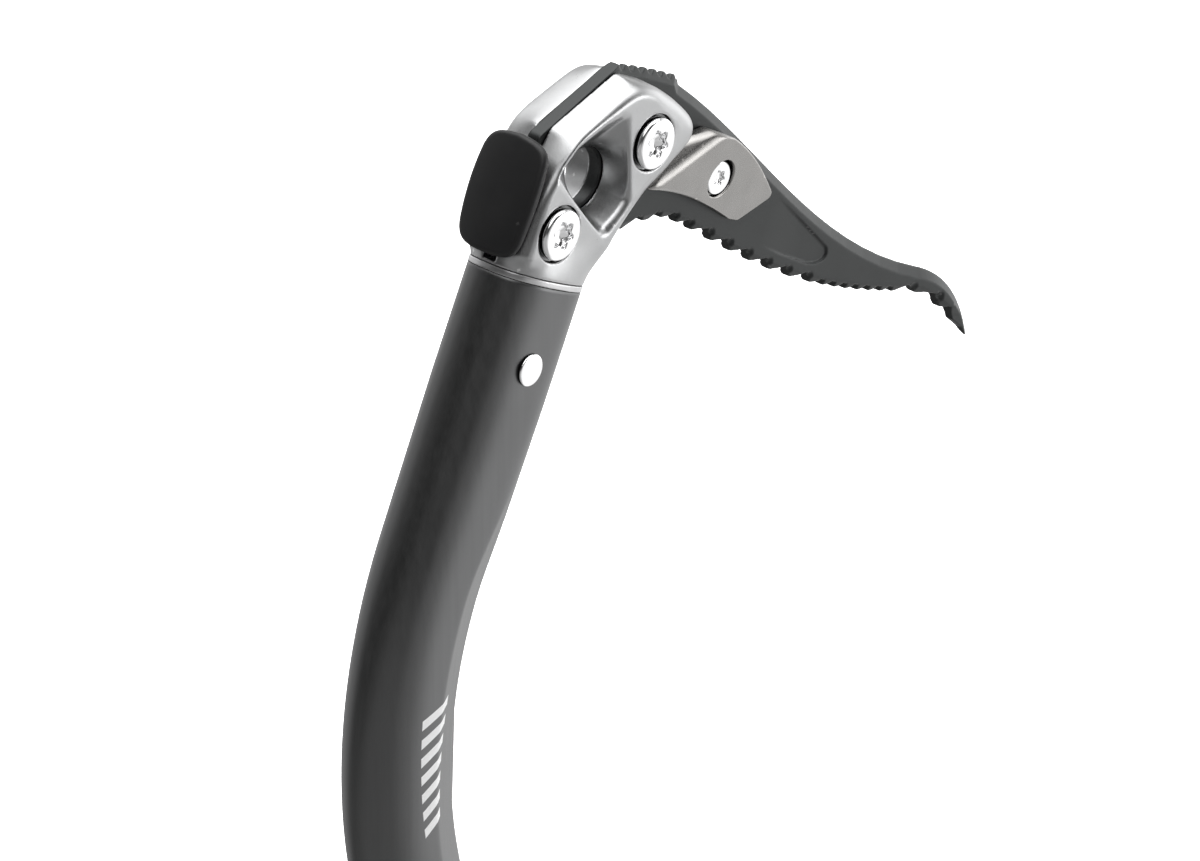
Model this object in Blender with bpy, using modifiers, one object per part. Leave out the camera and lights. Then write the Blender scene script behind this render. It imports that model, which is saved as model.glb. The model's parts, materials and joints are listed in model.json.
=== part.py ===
"""Technical ice axe, built in metres with +Z up and +X the way the pick points.

The bent alloy shaft carries a forged head with a bolted pick, hammer and pick weights at the top, and a
rubber grip, a steel spike, a sliding finger rest and a folding grip rest at the bottom. Lengths below are
in millimetres, and MM turns them into metres where a mesh is made. Two empties give the local axes that
most pieces are drawn in: head_axes sits where the shaft meets the head with its Z along the upper shaft,
and handle_axes sits where the bow of the shaft ends with its Z along the handle.
"""
import math

import bmesh
import bpy
from mathutils import Matrix, Vector

MM = 0.001
GAP = 0.3

# Shaft centre line: a leaning upper part, a bow, then a straight handle.
HEAD_LEAN = math.radians(27.9)
HANDLE_LEAN = math.radians(12.0)
UPPER_LENGTH = 72.0
BOW_RADIUS = 126.5
HANDLE_LENGTH = 311.0
SHAFT_TOP = (-52.22, 453.33)

# Oval sections: half depth along X, half width along Y, and how square the oval is.
TOP_OVAL = (16.7, 11.8, 2.5)
BOW_OVAL = (15.7, 11.3, 2.4)
HANDLE_OVAL = (15.2, 11.0, 2.3)
WALL = 1.6
RING_POINTS = 24

# Head, in head_axes.
COLLAR_TOP = 1.7
CHEEK_HALF = 11.0
EDGE_ROUND = 4.2
SLOT_HALF = 2.15
PICK_HALF = 1.85
STUB_LENGTH = 34.0
EYE_CENTRE = (6.3, 27.3)
EYE_R = 8.5
POCKET_MOUTH = ((-13.0, 27.4), (8.6, 16.8), (12.8, 17.4), (15.2, 21.6),
                (16.4, 27.6), (6.6, 46.4), (-0.6, 44.0), (-9.6, 37.4))
UPPER_BOLT = (19.4, 41.0)
LOWER_BOLT = (-6.5, 13.9)
BOLT_HEAD_R = 6.8
BOLT_SHANK_R = 4.0
BOLT_PROUD = 1.5
BOLT_SEAT = 9.6
BOLT_END = 11.2
BOLT_DRIVE_R = 3.9
BOLT_DRIVE_DEPTH = 2.4
RIVET_PROUD = 0.8
RIVET_Z = -21.1
RIVET_X = -1.7
RIVET_HEAD_R = 4.3
RIVET_SHANK_R = 3.0

# Hammer, in head_axes.
HAMMER_FACE_X = -21.8
HAMMER_BACK_X = -18.3
HAMMER_LOW = 4.2
HAMMER_HIGH = 35.4
HAMMER_HALF_WIDTH = 10.7
LAP_RADIUS = 9.0

# Pick, in head_axes.
PICK_TIP = (188.0, 4.5)
TOP_TOOTH_PITCH = 4.05
TOP_TOOTH_COUNT = 7
TOP_TOOTH_START = 6.6
TOP_TOOTH_HEIGHT = 57.6
TOP_TOOTH_CROWN = 0.035
TOP_TOOTH_DEPTH = 1.3

# Ice teeth along the pick's lower edge: first tip, pitch, depth and count of each group, from the nose back.
TOOTH_GROUPS = ((172.4, 12.0, 1.9, 2), (149.9, 4.85, 1.1, 7), (115.2, 9.2, 2.3, 6), (59.7, 7.0, 1.7, 4))
TOOTH_TIP_SHARE = 0.10
GULLET_SHARE = 0.39
GULLET_WIDTH_SHARE = 0.10

# Pick weights, in head_axes.
WEIGHT_SCREW = (58.3, 34.2)
WEIGHT_INNER = PICK_HALF + GAP
WEIGHT_RIM = 3.2
WEIGHT_CREST = 8.0
WEIGHT_SEAT = 3.7
WEIGHT_SCREW_R = 2.4
WEIGHT_HEAD_R = 4.5
WEIGHT_HEAD_THICK = 1.4

# Handle, in handle_axes: z runs down from 0 at the end of the bow.
GRIP_TOP = -130.0
GRIP_LOW = -249.0
TUBE_END = -268.0
FERRULE_LOW = -286.0
FERRULE_PLUG_TOP = -238.0
SPIKE_HALF = 2.0
SPIKE_RIVET_Z = -256.0
SPIKE_EYE_Z = -294.0
SPIKE_EYE_R = 5.5

# Finger rest, in handle_axes.
FINGER_Z = -88.0
FINGER_HALF_HEIGHT = 11.0
FINGER_WALL = 4.5
LEVER_PIN = (-24.2, 6.0)
LEVER_PIN_R = 1.5

# Grip rest, in handle_axes.
REST_Z = -276.0
REST_PIN_X = 25.8
REST_PIN_R = 1.9
REST_EAR_IN = 5.0
REST_EAR_OUT = 8.2
BUTTON_R = 3.0
BUTTON_DEPTH = 2.0
BRACKET_WALL = 2.9


# ---------------------------------------------------------------- scene set-up

def clear_scene():
    for thing in list(bpy.data.objects):
        bpy.data.objects.remove(thing, do_unlink=True)


def new_collection(name):
    group = bpy.data.collections.new(name)
    bpy.context.scene.collection.children.link(group)
    return group


def axes_empty(name, x, z, lean):
    empty = bpy.data.objects.new(name, None)
    empty.location = (x * MM, 0.0, z * MM)
    empty.rotation_euler = (0.0, lean, 0.0)
    PARTS.objects.link(empty)
    return empty


def make_material(name, colour, roughness, metallic):
    material = bpy.data.materials.new(name)
    material.use_nodes = True
    shader = material.node_tree.nodes["Principled BSDF"]
    shader.inputs["Base Color"].default_value = (*colour, 1.0)
    shader.inputs["Roughness"].default_value = roughness
    shader.inputs["Metallic"].default_value = metallic
    material.diffuse_color = (*colour, 1.0)
    return material


def finish_mesh(name, bm, parent, group, pivot):
    """Turns a bmesh in millimetres into a parented object in metres, with its origin at pivot."""
    bmesh.ops.remove_doubles(bm, verts=bm.verts, dist=0.001)
    bmesh.ops.recalc_face_normals(bm, faces=bm.faces)
    bmesh.ops.translate(bm, vec=-Vector(pivot), verts=bm.verts)
    bmesh.ops.scale(bm, vec=(MM, MM, MM), verts=bm.verts)
    mesh = bpy.data.meshes.new(name)
    bm.to_mesh(mesh)
    bm.free()
    thing = bpy.data.objects.new(name, mesh)
    thing.parent = parent
    thing.location = Vector(pivot) * MM
    group.objects.link(thing)
    return thing


def part(name, bm, look, parent, pivot=(0.0, 0.0, 0.0)):
    """One sub-part of the axe, smooth shaded with its sharp edges kept."""
    thing = finish_mesh(name, bm, parent, PARTS, pivot)
    thing.data.materials.append(make_material(name, *look))
    thing.data.shade_smooth()
    thing.data.set_sharp_from_angle(angle=math.radians(35))
    return thing


def tool(name, bm, parent):
    """A hidden cutter, or a body that is joined on."""
    thing = finish_mesh(name, bm, parent, CUTTERS, (0.0, 0.0, 0.0))
    thing.hide_render = True
    thing.display_type = "WIRE"
    return thing


def combine(thing, operation, name, bm, parent):
    modifier = thing.modifiers.new(name, "BOOLEAN")
    modifier.operation = operation
    modifier.solver = "EXACT"
    modifier.object = tool(name, bm, parent)


def round_edges(thing, width, segments, angle=40.0):
    modifier = thing.modifiers.new("rounded_edges", "BEVEL")
    modifier.width = width * MM
    modifier.segments = segments
    modifier.limit_method = "ANGLE"
    modifier.angle_limit = math.radians(angle)
    modifier.use_clamp_overlap = True


# ---------------------------------------------------------------- shape helpers

def arc(centre, radius, start, end, steps):
    """Points on a circle from one angle to another, in degrees."""
    points = []
    for i in range(steps + 1):
        angle = math.radians(start + (end - start) * i / steps)
        points.append((centre[0] + radius * math.cos(angle), centre[1] + radius * math.sin(angle)))
    return points


def bezier(p0, p1, p2, p3, steps):
    """Points along a cubic curve, without its first point."""
    points = []
    for i in range(1, steps + 1):
        t = i / steps
        u = 1.0 - t
        w = (u * u * u, 3 * u * u * t, 3 * u * t * t, t * t * t)
        points.append(tuple(sum(k * p[axis] for k, p in zip(w, (p0, p1, p2, p3))) for axis in (0, 1)))
    return points


def bezier_height(curve, x):
    """The height of a curve, given as four control points, where it passes x."""
    low, high = 0.0, 1.0
    for _ in range(40):
        t = (low + high) / 2
        u = 1.0 - t
        w = (u * u * u, 3 * u * u * t, 3 * u * t * t, t * t * t)
        if sum(k * p[0] for k, p in zip(w, curve)) < x:
            low = t
        else:
            high = t
    return sum(k * p[1] for k, p in zip(w, curve))


def plate(points, y_low, y_high):
    """A flat outline in X and Z, extruded between two widths."""
    curve = bpy.data.curves.new("outline", "CURVE")
    curve.dimensions = "2D"
    curve.fill_mode = "BOTH"
    curve.extrude = (y_high - y_low) / 2
    spline = curve.splines.new("POLY")
    spline.points.add(len(points) - 1)
    for point, (x, z) in zip(spline.points, points):
        point.co = (x, z, 0.0, 1.0)
    spline.use_cyclic_u = True
    holder = bpy.data.objects.new("outline", curve)
    bpy.context.scene.collection.objects.link(holder)
    evaluated = holder.evaluated_get(bpy.context.evaluated_depsgraph_get())
    mesh = bpy.data.meshes.new_from_object(evaluated)
    bm = bmesh.new()
    bm.from_mesh(mesh)
    bpy.data.objects.remove(holder)
    bpy.data.curves.remove(curve)
    bpy.data.meshes.remove(mesh)
    bmesh.ops.remove_doubles(bm, verts=bm.verts, dist=0.001)
    place = Matrix.Translation((0.0, (y_low + y_high) / 2, 0.0))
    place = place @ Matrix.Rotation(math.radians(90), 4, "X")
    bmesh.ops.transform(bm, matrix=place, verts=bm.verts)
    return bm


def rod(centre, y_low, y_high, radius, segments=24):
    """A round bar along Y through a point in X and Z."""
    bm = bmesh.new()
    place = Matrix.Translation((centre[0], (y_low + y_high) / 2, centre[1]))
    place = place @ Matrix.Rotation(math.radians(-90), 4, "X")
    bmesh.ops.create_cone(bm, cap_ends=True, segments=segments, radius1=radius, radius2=radius,
                          depth=y_high - y_low, matrix=place)
    return bm


def star_rod(centre, y_low, y_high, radius):
    """A six-lobed bar along Y, for the drive recess of a screw."""
    points = []
    for i in range(24):
        angle = 2 * math.pi * i / 24
        reach = radius * (0.86 + 0.14 * math.cos(6 * angle))
        points.append((centre[0] + reach * math.cos(angle), centre[1] + reach * math.sin(angle)))
    return plate(points, y_low, y_high)


def merge(*meshes):
    """Several closed shapes in one bmesh."""
    whole = bmesh.new()
    for bm in meshes:
        mesh = bpy.data.meshes.new("piece")
        bm.to_mesh(mesh)
        bm.free()
        whole.from_mesh(mesh)
        bpy.data.meshes.remove(mesh)
    return whole


def block(low, high):
    bm = bmesh.new()
    size = Vector(high) - Vector(low)
    bmesh.ops.create_cube(bm, size=1.0)
    bmesh.ops.scale(bm, vec=size, verts=bm.verts)
    bmesh.ops.translate(bm, vec=(Vector(low) + Vector(high)) / 2, verts=bm.verts)
    return bm


def oval(section, grow=0.0):
    """The points of a rounded oval, grown outwards by a distance."""
    a, b, power = section
    a += grow
    b += grow
    points = []
    for i in range(RING_POINTS):
        angle = 2 * math.pi * i / RING_POINTS
        c, s = math.cos(angle), math.sin(angle)
        x = a * math.copysign(abs(c) ** (2 / power), c)
        y = b * math.copysign(abs(s) ** (2 / power), s)
        points.append((x, y))
    return points


def skin(rings, closed):
    """A surface through rings of points; closed caps both ends."""
    bm = bmesh.new()
    rows = [[bm.verts.new(point) for point in ring] for ring in rings]
    count = len(rows[0])
    for upper, lower in zip(rows, rows[1:]):
        for i in range(count):
            j = (i + 1) % count
            bm.faces.new((upper[i], upper[j], lower[j], lower[i]))
    if closed:
        bm.faces.new(rows[0])
        bm.faces.new(list(reversed(rows[-1])))
    return bm


def stack(stations):
    """A solid through ovals at given heights: each station is (z, section, grow)."""
    return skin([[(x, y, z) for x, y in oval(section, grow)] for z, section, grow in stations], closed=True)


def sleeve(stations, section, inner_grow):
    """A tube around a constant bore: each station is (z, outer grow), from the top down."""
    outer = [[(x, y, z) for x, y in oval(section, grow)] for z, grow in stations]
    inner = [[(x, y, z) for x, y in oval(section, inner_grow)] for z, _ in reversed(stations)]
    return skin(outer + inner + [outer[0]], closed=False)


def mix(first, second, share):
    return tuple(a + (b - a) * share for a, b in zip(first, second))


# ---------------------------------------------------------------- shaft

def shaft_point(distance):
    """The centre line's X and Z from the shaft top, and its lean, at a distance along it."""
    if distance <= UPPER_LENGTH:
        return (-math.sin(HEAD_LEAN) * distance, -math.cos(HEAD_LEAN) * distance), -HEAD_LEAN
    start = (-math.sin(HEAD_LEAN) * UPPER_LENGTH, -math.cos(HEAD_LEAN) * UPPER_LENGTH)
    lean = min(-HEAD_LEAN + (distance - UPPER_LENGTH) / BOW_RADIUS, HANDLE_LEAN)
    x = start[0] + BOW_RADIUS * (math.cos(HEAD_LEAN) - math.cos(lean))
    z = start[1] - BOW_RADIUS * (math.sin(lean) + math.sin(HEAD_LEAN))
    past = distance - UPPER_LENGTH - BOW_RADIUS * (HEAD_LEAN + HANDLE_LEAN)
    if past > 0:
        x += math.sin(lean) * past
        z -= math.cos(lean) * past
    return (x, z), lean


def shaft_section(distance):
    bow_middle = UPPER_LENGTH + 30.0
    bow_end = UPPER_LENGTH + BOW_RADIUS * (HEAD_LEAN + HANDLE_LEAN)
    if distance < bow_middle:
        return mix(TOP_OVAL, BOW_OVAL, max(0.0, distance - 30.0) / (bow_middle - 30.0))
    return mix(BOW_OVAL, HANDLE_OVAL, min(1.0, (distance - bow_middle) / (bow_end - bow_middle)))


def shaft_ring(distance):
    (x, z), lean = shaft_point(distance)
    across = Vector((math.cos(lean), 0.0, math.sin(lean)))
    centre = Vector((x, 0.0, z))
    return [centre + across * u + Vector((0.0, v, 0.0)) for u, v in oval(shaft_section(distance))]


def build_shaft():
    bow_end = UPPER_LENGTH + BOW_RADIUS * (HEAD_LEAN + HANDLE_LEAN)
    distances = [GAP / 2, 30.0, 52.0]
    bow_steps = 9
    distances += [UPPER_LENGTH + (bow_end - UPPER_LENGTH) * i / bow_steps for i in range(bow_steps + 1)]
    distances.append(bow_end - TUBE_END)
    bm = skin([shaft_ring(distance) for distance in distances], closed=False)
    bmesh.ops.recalc_face_normals(bm, faces=bm.faces)
    top = Vector((SHAFT_TOP[0], 0.0, SHAFT_TOP[1]))
    bmesh.ops.translate(bm, vec=top, verts=bm.verts)
    shaft = part("shaft_tube", bm, (DARK_ANODISED, 0.38, 0.6), None)
    wall = shaft.modifiers.new("wall", "SOLIDIFY")
    wall.thickness = WALL * MM
    wall.offset = -1.0
    wall.use_even_offset = True
    combine(shaft, "DIFFERENCE", "shaft_head_rivet_bore",
            rod((RIVET_X, RIVET_Z), -20, 20, RIVET_SHANK_R + GAP), HEAD)
    combine(shaft, "DIFFERENCE", "shaft_spike_rivet_bore",
            rod((0.0, SPIKE_RIVET_Z), -20, 20, RIVET_SHANK_R - 0.5 + GAP), HANDLE)


# ---------------------------------------------------------------- head

def head_outline():
    """The head from the side, anticlockwise from the front of the neck."""
    points = [(17.0, 5.0), (17.3, 9.5), (18.9, 14.5), (25.6, 26.6), (32.9, 37.4)]
    points += arc((35.6, 45.0), 3.9, -50.0, 70.0, 4)
    points += [(25.0, 52.9), (15.5, 55.0)]
    points += arc((7.1, 53.8), 1.7, 90.0, 135.0, 2)
    points += arc((-9.9, 37.0), 2.2, 135.0, 160.0, 2)
    points += [(-15.4, 27.0), (-16.9, 18.0), (-16.9, 5.0)]
    return points


def pocket_reach(angle):
    """How far the pocket's mouth is from the eye's centre in one direction."""
    direction = (math.cos(angle), math.sin(angle))
    corners = [(x - EYE_CENTRE[0], z - EYE_CENTRE[1]) for x, z in POCKET_MOUTH]
    for start, end in zip(corners, corners[1:] + corners[:1]):
        edge = (end[0] - start[0], end[1] - start[1])
        spread = direction[0] * edge[1] - direction[1] * edge[0]
        along = (start[0] * edge[1] - start[1] * edge[0]) / spread
        share = (start[0] * direction[1] - start[1] * direction[0]) / spread
        if along > 0 and 0 <= share <= 1:
            return along
    return EYE_R


def pocket(side):
    """A funnel from the kite-shaped mouth on one cheek down to the round eye at the slot."""
    corner_angles = [math.atan2(z - EYE_CENTRE[1], x - EYE_CENTRE[0]) for x, z in POCKET_MOUTH]
    even_angles = [2 * math.pi * i / 24 - math.pi + 0.05 for i in range(24)]
    angles = sorted(corner_angles + [a for a in even_angles if min(abs(a - c) for c in corner_angles) > 0.08])
    rings = []
    for depth in (SLOT_HALF - 0.5, SLOT_HALF + 0.1, CHEEK_HALF + 3.0):
        share = max(0.0, (depth - SLOT_HALF - 0.1) / (CHEEK_HALF - SLOT_HALF - 0.1))
        ring = []
        for angle in angles:
            reach = EYE_R + (pocket_reach(angle) - EYE_R) * share
            x = EYE_CENTRE[0] + reach * math.cos(angle)
            z = EYE_CENTRE[1] + reach * math.sin(angle)
            ring.append((x, side * depth, z))
        rings.append(ring)
    return skin(rings, closed=True)


def build_head():
    head = part("head_body", plate(head_outline(), -CHEEK_HALF, CHEEK_HALF), (FORGED_ALLOY, 0.35, 0.95), HEAD)
    round_edges(head, EDGE_ROUND, 2)
    neck_low = COLLAR_TOP + GAP / 2
    neck = [(14.0, (15.6, 9.8, 2.6), 0.0), (7.5, (16.6, 11.2, 2.6), 0.0), (neck_low, TOP_OVAL, 0.0)]
    combine(head, "UNION", "head_neck", stack(neck), HEAD)
    inside = -WALL - GAP
    combine(head, "UNION", "head_stub",
            stack([(6.0, TOP_OVAL, inside), (-STUB_LENGTH, TOP_OVAL, inside)]), HEAD)
    slot = [(-25.0, 3.5), (-10.0, 3.5), (0.0, 5.0), (24.0, 10.5), (60.0, 10.5), (60.0, 70.0), (-25.0, 70.0)]
    combine(head, "DIFFERENCE", "head_slot", plate(slot, -SLOT_HALF, SLOT_HALF), HEAD)
    combine(head, "DIFFERENCE", "head_pockets", merge(pocket(-1), pocket(1)), HEAD)
    for label, centre in (("upper", UPPER_BOLT), ("lower", LOWER_BOLT)):
        combine(head, "DIFFERENCE", f"head_{label}_bore", rod(centre, -20, 20, BOLT_SHANK_R + GAP), HEAD)
        seat_r = BOLT_HEAD_R + 0.5
        seats = merge(rod(centre, -20, -BOLT_SEAT, seat_r), rod(centre, BOLT_SEAT, 20, seat_r))
        combine(head, "DIFFERENCE", f"head_{label}_seats", seats, HEAD)
    combine(head, "DIFFERENCE", "head_rivet_bore",
            rod((RIVET_X, RIVET_Z), -20, 20, RIVET_SHANK_R + GAP), HEAD)


def build_collar():
    ring = sleeve([(COLLAR_TOP - GAP / 2, 0.0), (GAP / 2, 0.0)], TOP_OVAL, -WALL)
    part("head_collar", ring, (BRIGHT_ALLOY, 0.3, 1.0), HEAD)


def build_rivet(name, centre, half_width, head_r, shank_r, parent):
    """A through rivet with a low flat head on each side."""
    end = half_width + RIVET_PROUD
    rivet = part(name, rod(centre, -end, end, shank_r), (POLISHED, 0.15, 1.0), parent)
    heads = merge(rod(centre, -end, -half_width, head_r), rod(centre, half_width, end, head_r))
    combine(rivet, "UNION", f"{name}_heads", heads, parent)


def build_bolt(name, centre, parent):
    top = CHEEK_HALF + BOLT_PROUD
    bolt = part(name, rod(centre, -top, -BOLT_SEAT - GAP, BOLT_HEAD_R, 32), (POLISHED, 0.12, 1.0), parent)
    round_edges(bolt, 0.5, 1)
    combine(bolt, "UNION", f"{name}_shank", rod(centre, -BOLT_SEAT - 1.0, BOLT_END, BOLT_SHANK_R), parent)
    drive = star_rod(centre, -top - 1.0, -top + BOLT_DRIVE_DEPTH, BOLT_DRIVE_R)
    combine(bolt, "DIFFERENCE", f"{name}_drive", drive, parent)


def build_nut(name, centre, parent):
    """A blind round nut that closes the bolt's far end."""
    top = CHEEK_HALF + BOLT_PROUD
    nut = part(name, rod(centre, BOLT_SEAT + GAP, top, BOLT_HEAD_R, 32), (POLISHED, 0.2, 1.0), parent)
    round_edges(nut, 0.5, 1)
    combine(nut, "DIFFERENCE", f"{name}_thread", rod(centre, 0.0, BOLT_END + GAP, BOLT_SHANK_R + GAP), parent)


# ---------------------------------------------------------------- pick, hammer and weights

TOP_EDGE = ((36.0, 54.9), (76.0, 44.5), (112.0, 20.5), (158.0, 19.9))
TOP_NOSE = ((158.0, 19.9), (169.0, 19.9), (179.5, 16.0), PICK_TIP)
LOW_EDGE = ((48.0, 21.1), (80.0, 16.4), (105.0, 6.6), (157.0, 13.5))
LOW_NOSE = ((157.0, 13.5), (165.0, 13.8), (176.0, 10.5), PICK_TIP)


def top_teeth():
    """Seven blunt teeth on the crown of the pick, from back to front."""
    points = []
    for i in range(TOP_TOOTH_COUNT):
        x = TOP_TOOTH_START + TOP_TOOTH_PITCH * i
        high = TOP_TOOTH_HEIGHT - TOP_TOOTH_CROWN * (i - TOP_TOOTH_COUNT // 2) ** 2
        low = high - TOP_TOOTH_DEPTH
        points += [(x, low), (x + 0.9, high), (x + 2.4, high), (x + 3.3, low)]
    return points


def lower_edge(x):
    if x < LOW_EDGE[0][0]:
        return LOW_EDGE[0][1] - 0.066 * (LOW_EDGE[0][0] - x) ** 1.5
    if x < LOW_EDGE[3][0]:
        return bezier_height(LOW_EDGE, x)
    return bezier_height(LOW_NOSE, x)


def lower_teeth():
    """The ice teeth from the pick's nose back to the head: each has a steep back and a long shallow front."""
    points = []
    for start, pitch, depth, count in TOOTH_GROUPS:
        for i in range(count):
            x = start - pitch * i
            edge = lower_edge(x)
            points.append((x + pitch * TOOTH_TIP_SHARE, edge))
            points.append((x - pitch * TOOTH_TIP_SHARE, edge))
            gullet = x - pitch * GULLET_SHARE
            floor = lower_edge(gullet) + depth
            points.append((gullet, floor))
            points.append((gullet - pitch * GULLET_WIDTH_SHARE, floor))
    return points


def pick_outline():
    points = top_teeth()
    points += [(35.0, 56.2), TOP_EDGE[0]]
    points += bezier(*TOP_EDGE, 12)
    points += bezier(*TOP_NOSE, 6)
    points += [(184.0, 6.6), (179.0, 8.2), (176.4, 10.9)]
    points += lower_teeth()
    points += [(31.2, 16.1), (28.4, 16.2), (28.1, 14.8), (26.4, 13.2), (20.0, 11.6), (8.0, 9.3)]
    points += arc(LOWER_BOLT, 8.2, -62.0, -178.0, 6)
    points += arc((-12.5, 35.0), 2.2, 190.0, 132.0, 3)
    points.append((5.9, 55.3))
    return points


def lap_outline(shrink):
    """The half lap where the pick's tail and the hammer's tang share the lower bolt."""
    radius = LAP_RADIUS - shrink
    points = arc(LOWER_BOLT, radius, 90.0, -90.0, 8)
    points += [(-30.0, LOWER_BOLT[1] - radius), (-30.0, LOWER_BOLT[1] + radius)]
    return points


def build_pick():
    pick = part("pick", plate(pick_outline(), -PICK_HALF, PICK_HALF), (BLACK_STEEL, 0.5, 0.7), HEAD)
    combine(pick, "DIFFERENCE", "pick_lap", plate(lap_outline(0.0), -GAP / 2, PICK_HALF + 1.0), HEAD)
    bores = merge(rod(UPPER_BOLT, -9, 9, BOLT_SHANK_R + GAP), rod(LOWER_BOLT, -9, 9, BOLT_SHANK_R + GAP),
                  rod(EYE_CENTRE, -9, 9, EYE_R - 0.6, 32), rod(WEIGHT_SCREW, -9, 9, WEIGHT_SCREW_R + GAP))
    combine(pick, "DIFFERENCE", "pick_bores", bores, HEAD)


def hammer_section(inset):
    """The hammer face from behind: a rounded trapezoid, as Y and Z points."""
    low = HAMMER_LOW + inset
    high = HAMMER_HIGH - inset
    half = HAMMER_HALF_WIDTH - inset
    right = bezier((0.0, low), (half * 0.62, low), (half * 0.9, low + 0.6), (half * 0.95, low + 6.5), 5)
    right += bezier(right[-1], (half, low + 12.0), (half * 1.03, low + 19.0), (half * 0.95, high - 5.5), 5)
    right += bezier(right[-1], (half * 0.86, high - 1.0), (half * 0.6, high - 0.6), (0.0, high), 5)
    left = [(-y, z) for y, z in reversed(right[:-1])]
    return right + left + [(0.0, low)]


def build_hammer():
    rings = []
    for x, inset in ((HAMMER_FACE_X, 1.6), (HAMMER_FACE_X + 0.7, 0.4),
                     (HAMMER_BACK_X - 0.8, 0.0), (HAMMER_BACK_X, 1.2)):
        rings.append([(x, y, z) for y, z in hammer_section(inset)])
    hammer = part("hammer", skin(rings, closed=True), (RUBBER_BLACK, 0.45, 0.4), HEAD)
    tang = [(HAMMER_BACK_X - 1.0, LOWER_BOLT[1] - 8.6), (-15.4, LOWER_BOLT[1] - 8.6),
            (-15.4, LOWER_BOLT[1] + 8.6), (HAMMER_BACK_X - 1.0, LOWER_BOLT[1] + 13.0)]
    combine(hammer, "UNION", "hammer_neck", plate(tang, -PICK_HALF, PICK_HALF), HEAD)
    lap = arc(LOWER_BOLT, LAP_RADIUS - 2 * GAP, 90.0, -90.0, 8)
    lap += [(-16.0, LOWER_BOLT[1] - LAP_RADIUS + 2 * GAP), (-16.0, LOWER_BOLT[1] + LAP_RADIUS - 2 * GAP)]
    combine(hammer, "UNION", "hammer_tang", plate(lap, GAP / 2, PICK_HALF - 0.1), HEAD)
    combine(hammer, "DIFFERENCE", "hammer_bore", rod(LOWER_BOLT, -9, 9, BOLT_SHANK_R + GAP), HEAD)


def weight_outline():
    points = [(28.6, 28.2), (49.7, 27.7), (65.4, 25.2)]
    points += arc((74.0, 25.4), 1.6, -110.0, -50.0, 2)
    points += arc((83.6, 31.8), 1.4, -50.0, 60.0, 3)
    points += [(70.0, 41.0), (57.0, 45.2)]
    points += arc((49.0, 43.0), 2.9, 75.0, 110.0, 2)
    points += [(42.4, 42.9), (38.0, 40.6), (34.4, 37.0)]
    return points


def build_weight(name, side):
    """One cheek weight: a low tent of steel with its ridge beside the head."""
    bm = bmesh.new()
    for x, z in weight_outline():
        bm.verts.new((x, side * WEIGHT_INNER, z))
        bm.verts.new((x, side * WEIGHT_RIM, z))
    for x, z in ((33.4, 29.8), (50.0, 42.0), (34.8, 31.6), (48.0, 41.0)):
        bm.verts.new((x, side * WEIGHT_CREST, z))
    hull = bmesh.ops.convex_hull(bm, input=bm.verts)
    loose = {v for v in hull["geom_interior"] if isinstance(v, bmesh.types.BMVert)}
    bmesh.ops.delete(bm, geom=list(loose), context="VERTS")
    bmesh.ops.dissolve_limit(bm, angle_limit=math.radians(0.2), verts=bm.verts, edges=bm.edges)
    weight = part(name, bm, (WARM_STEEL, 0.35, 0.95), HEAD)
    low, high = sorted((0.0, side * 20.0))
    combine(weight, "DIFFERENCE", f"{name}_bore", rod(WEIGHT_SCREW, low, high, WEIGHT_SCREW_R + GAP), HEAD)
    low, high = sorted((side * WEIGHT_SEAT, side * 20.0))
    combine(weight, "DIFFERENCE", f"{name}_seat", rod(WEIGHT_SCREW, low, high, WEIGHT_HEAD_R + 0.6), HEAD)


def build_weight_fastener():
    seat = WEIGHT_SEAT + GAP
    top = seat + WEIGHT_HEAD_THICK
    end = seat + 1.0
    head = rod(WEIGHT_SCREW, -top, -seat, WEIGHT_HEAD_R)
    shank = rod(WEIGHT_SCREW, -seat - 0.5, end, WEIGHT_SCREW_R, 16)
    screw = part("pick_weight_screw", head, (POLISHED, 0.2, 1.0), HEAD)
    combine(screw, "UNION", "weight_screw_shank", shank, HEAD)
    drive = star_rod(WEIGHT_SCREW, -top - 1.0, -seat - 0.5, 2.1)
    combine(screw, "DIFFERENCE", "weight_screw_drive", drive, HEAD)
    nut = part("pick_weight_nut", rod(WEIGHT_SCREW, seat, top, WEIGHT_HEAD_R, 6), (POLISHED, 0.3, 1.0), HEAD)
    combine(nut, "DIFFERENCE", "weight_nut_thread",
            rod(WEIGHT_SCREW, 0.0, end + GAP, WEIGHT_SCREW_R + GAP, 16), HEAD)


# ---------------------------------------------------------------- handle and spike

def build_grip():
    stations = [(GRIP_TOP, 0.9), (GRIP_TOP - 3.0, 1.9), (GRIP_TOP - 40.0, 1.7), (GRIP_TOP - 85.0, 2.3),
                (GRIP_LOW + 6.0, 2.0), (GRIP_LOW, 1.5)]
    part("grip_sleeve", sleeve(stations, HANDLE_OVAL, GAP), (RUBBER_BLACK, 0.75, 0.0), HANDLE)


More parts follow.
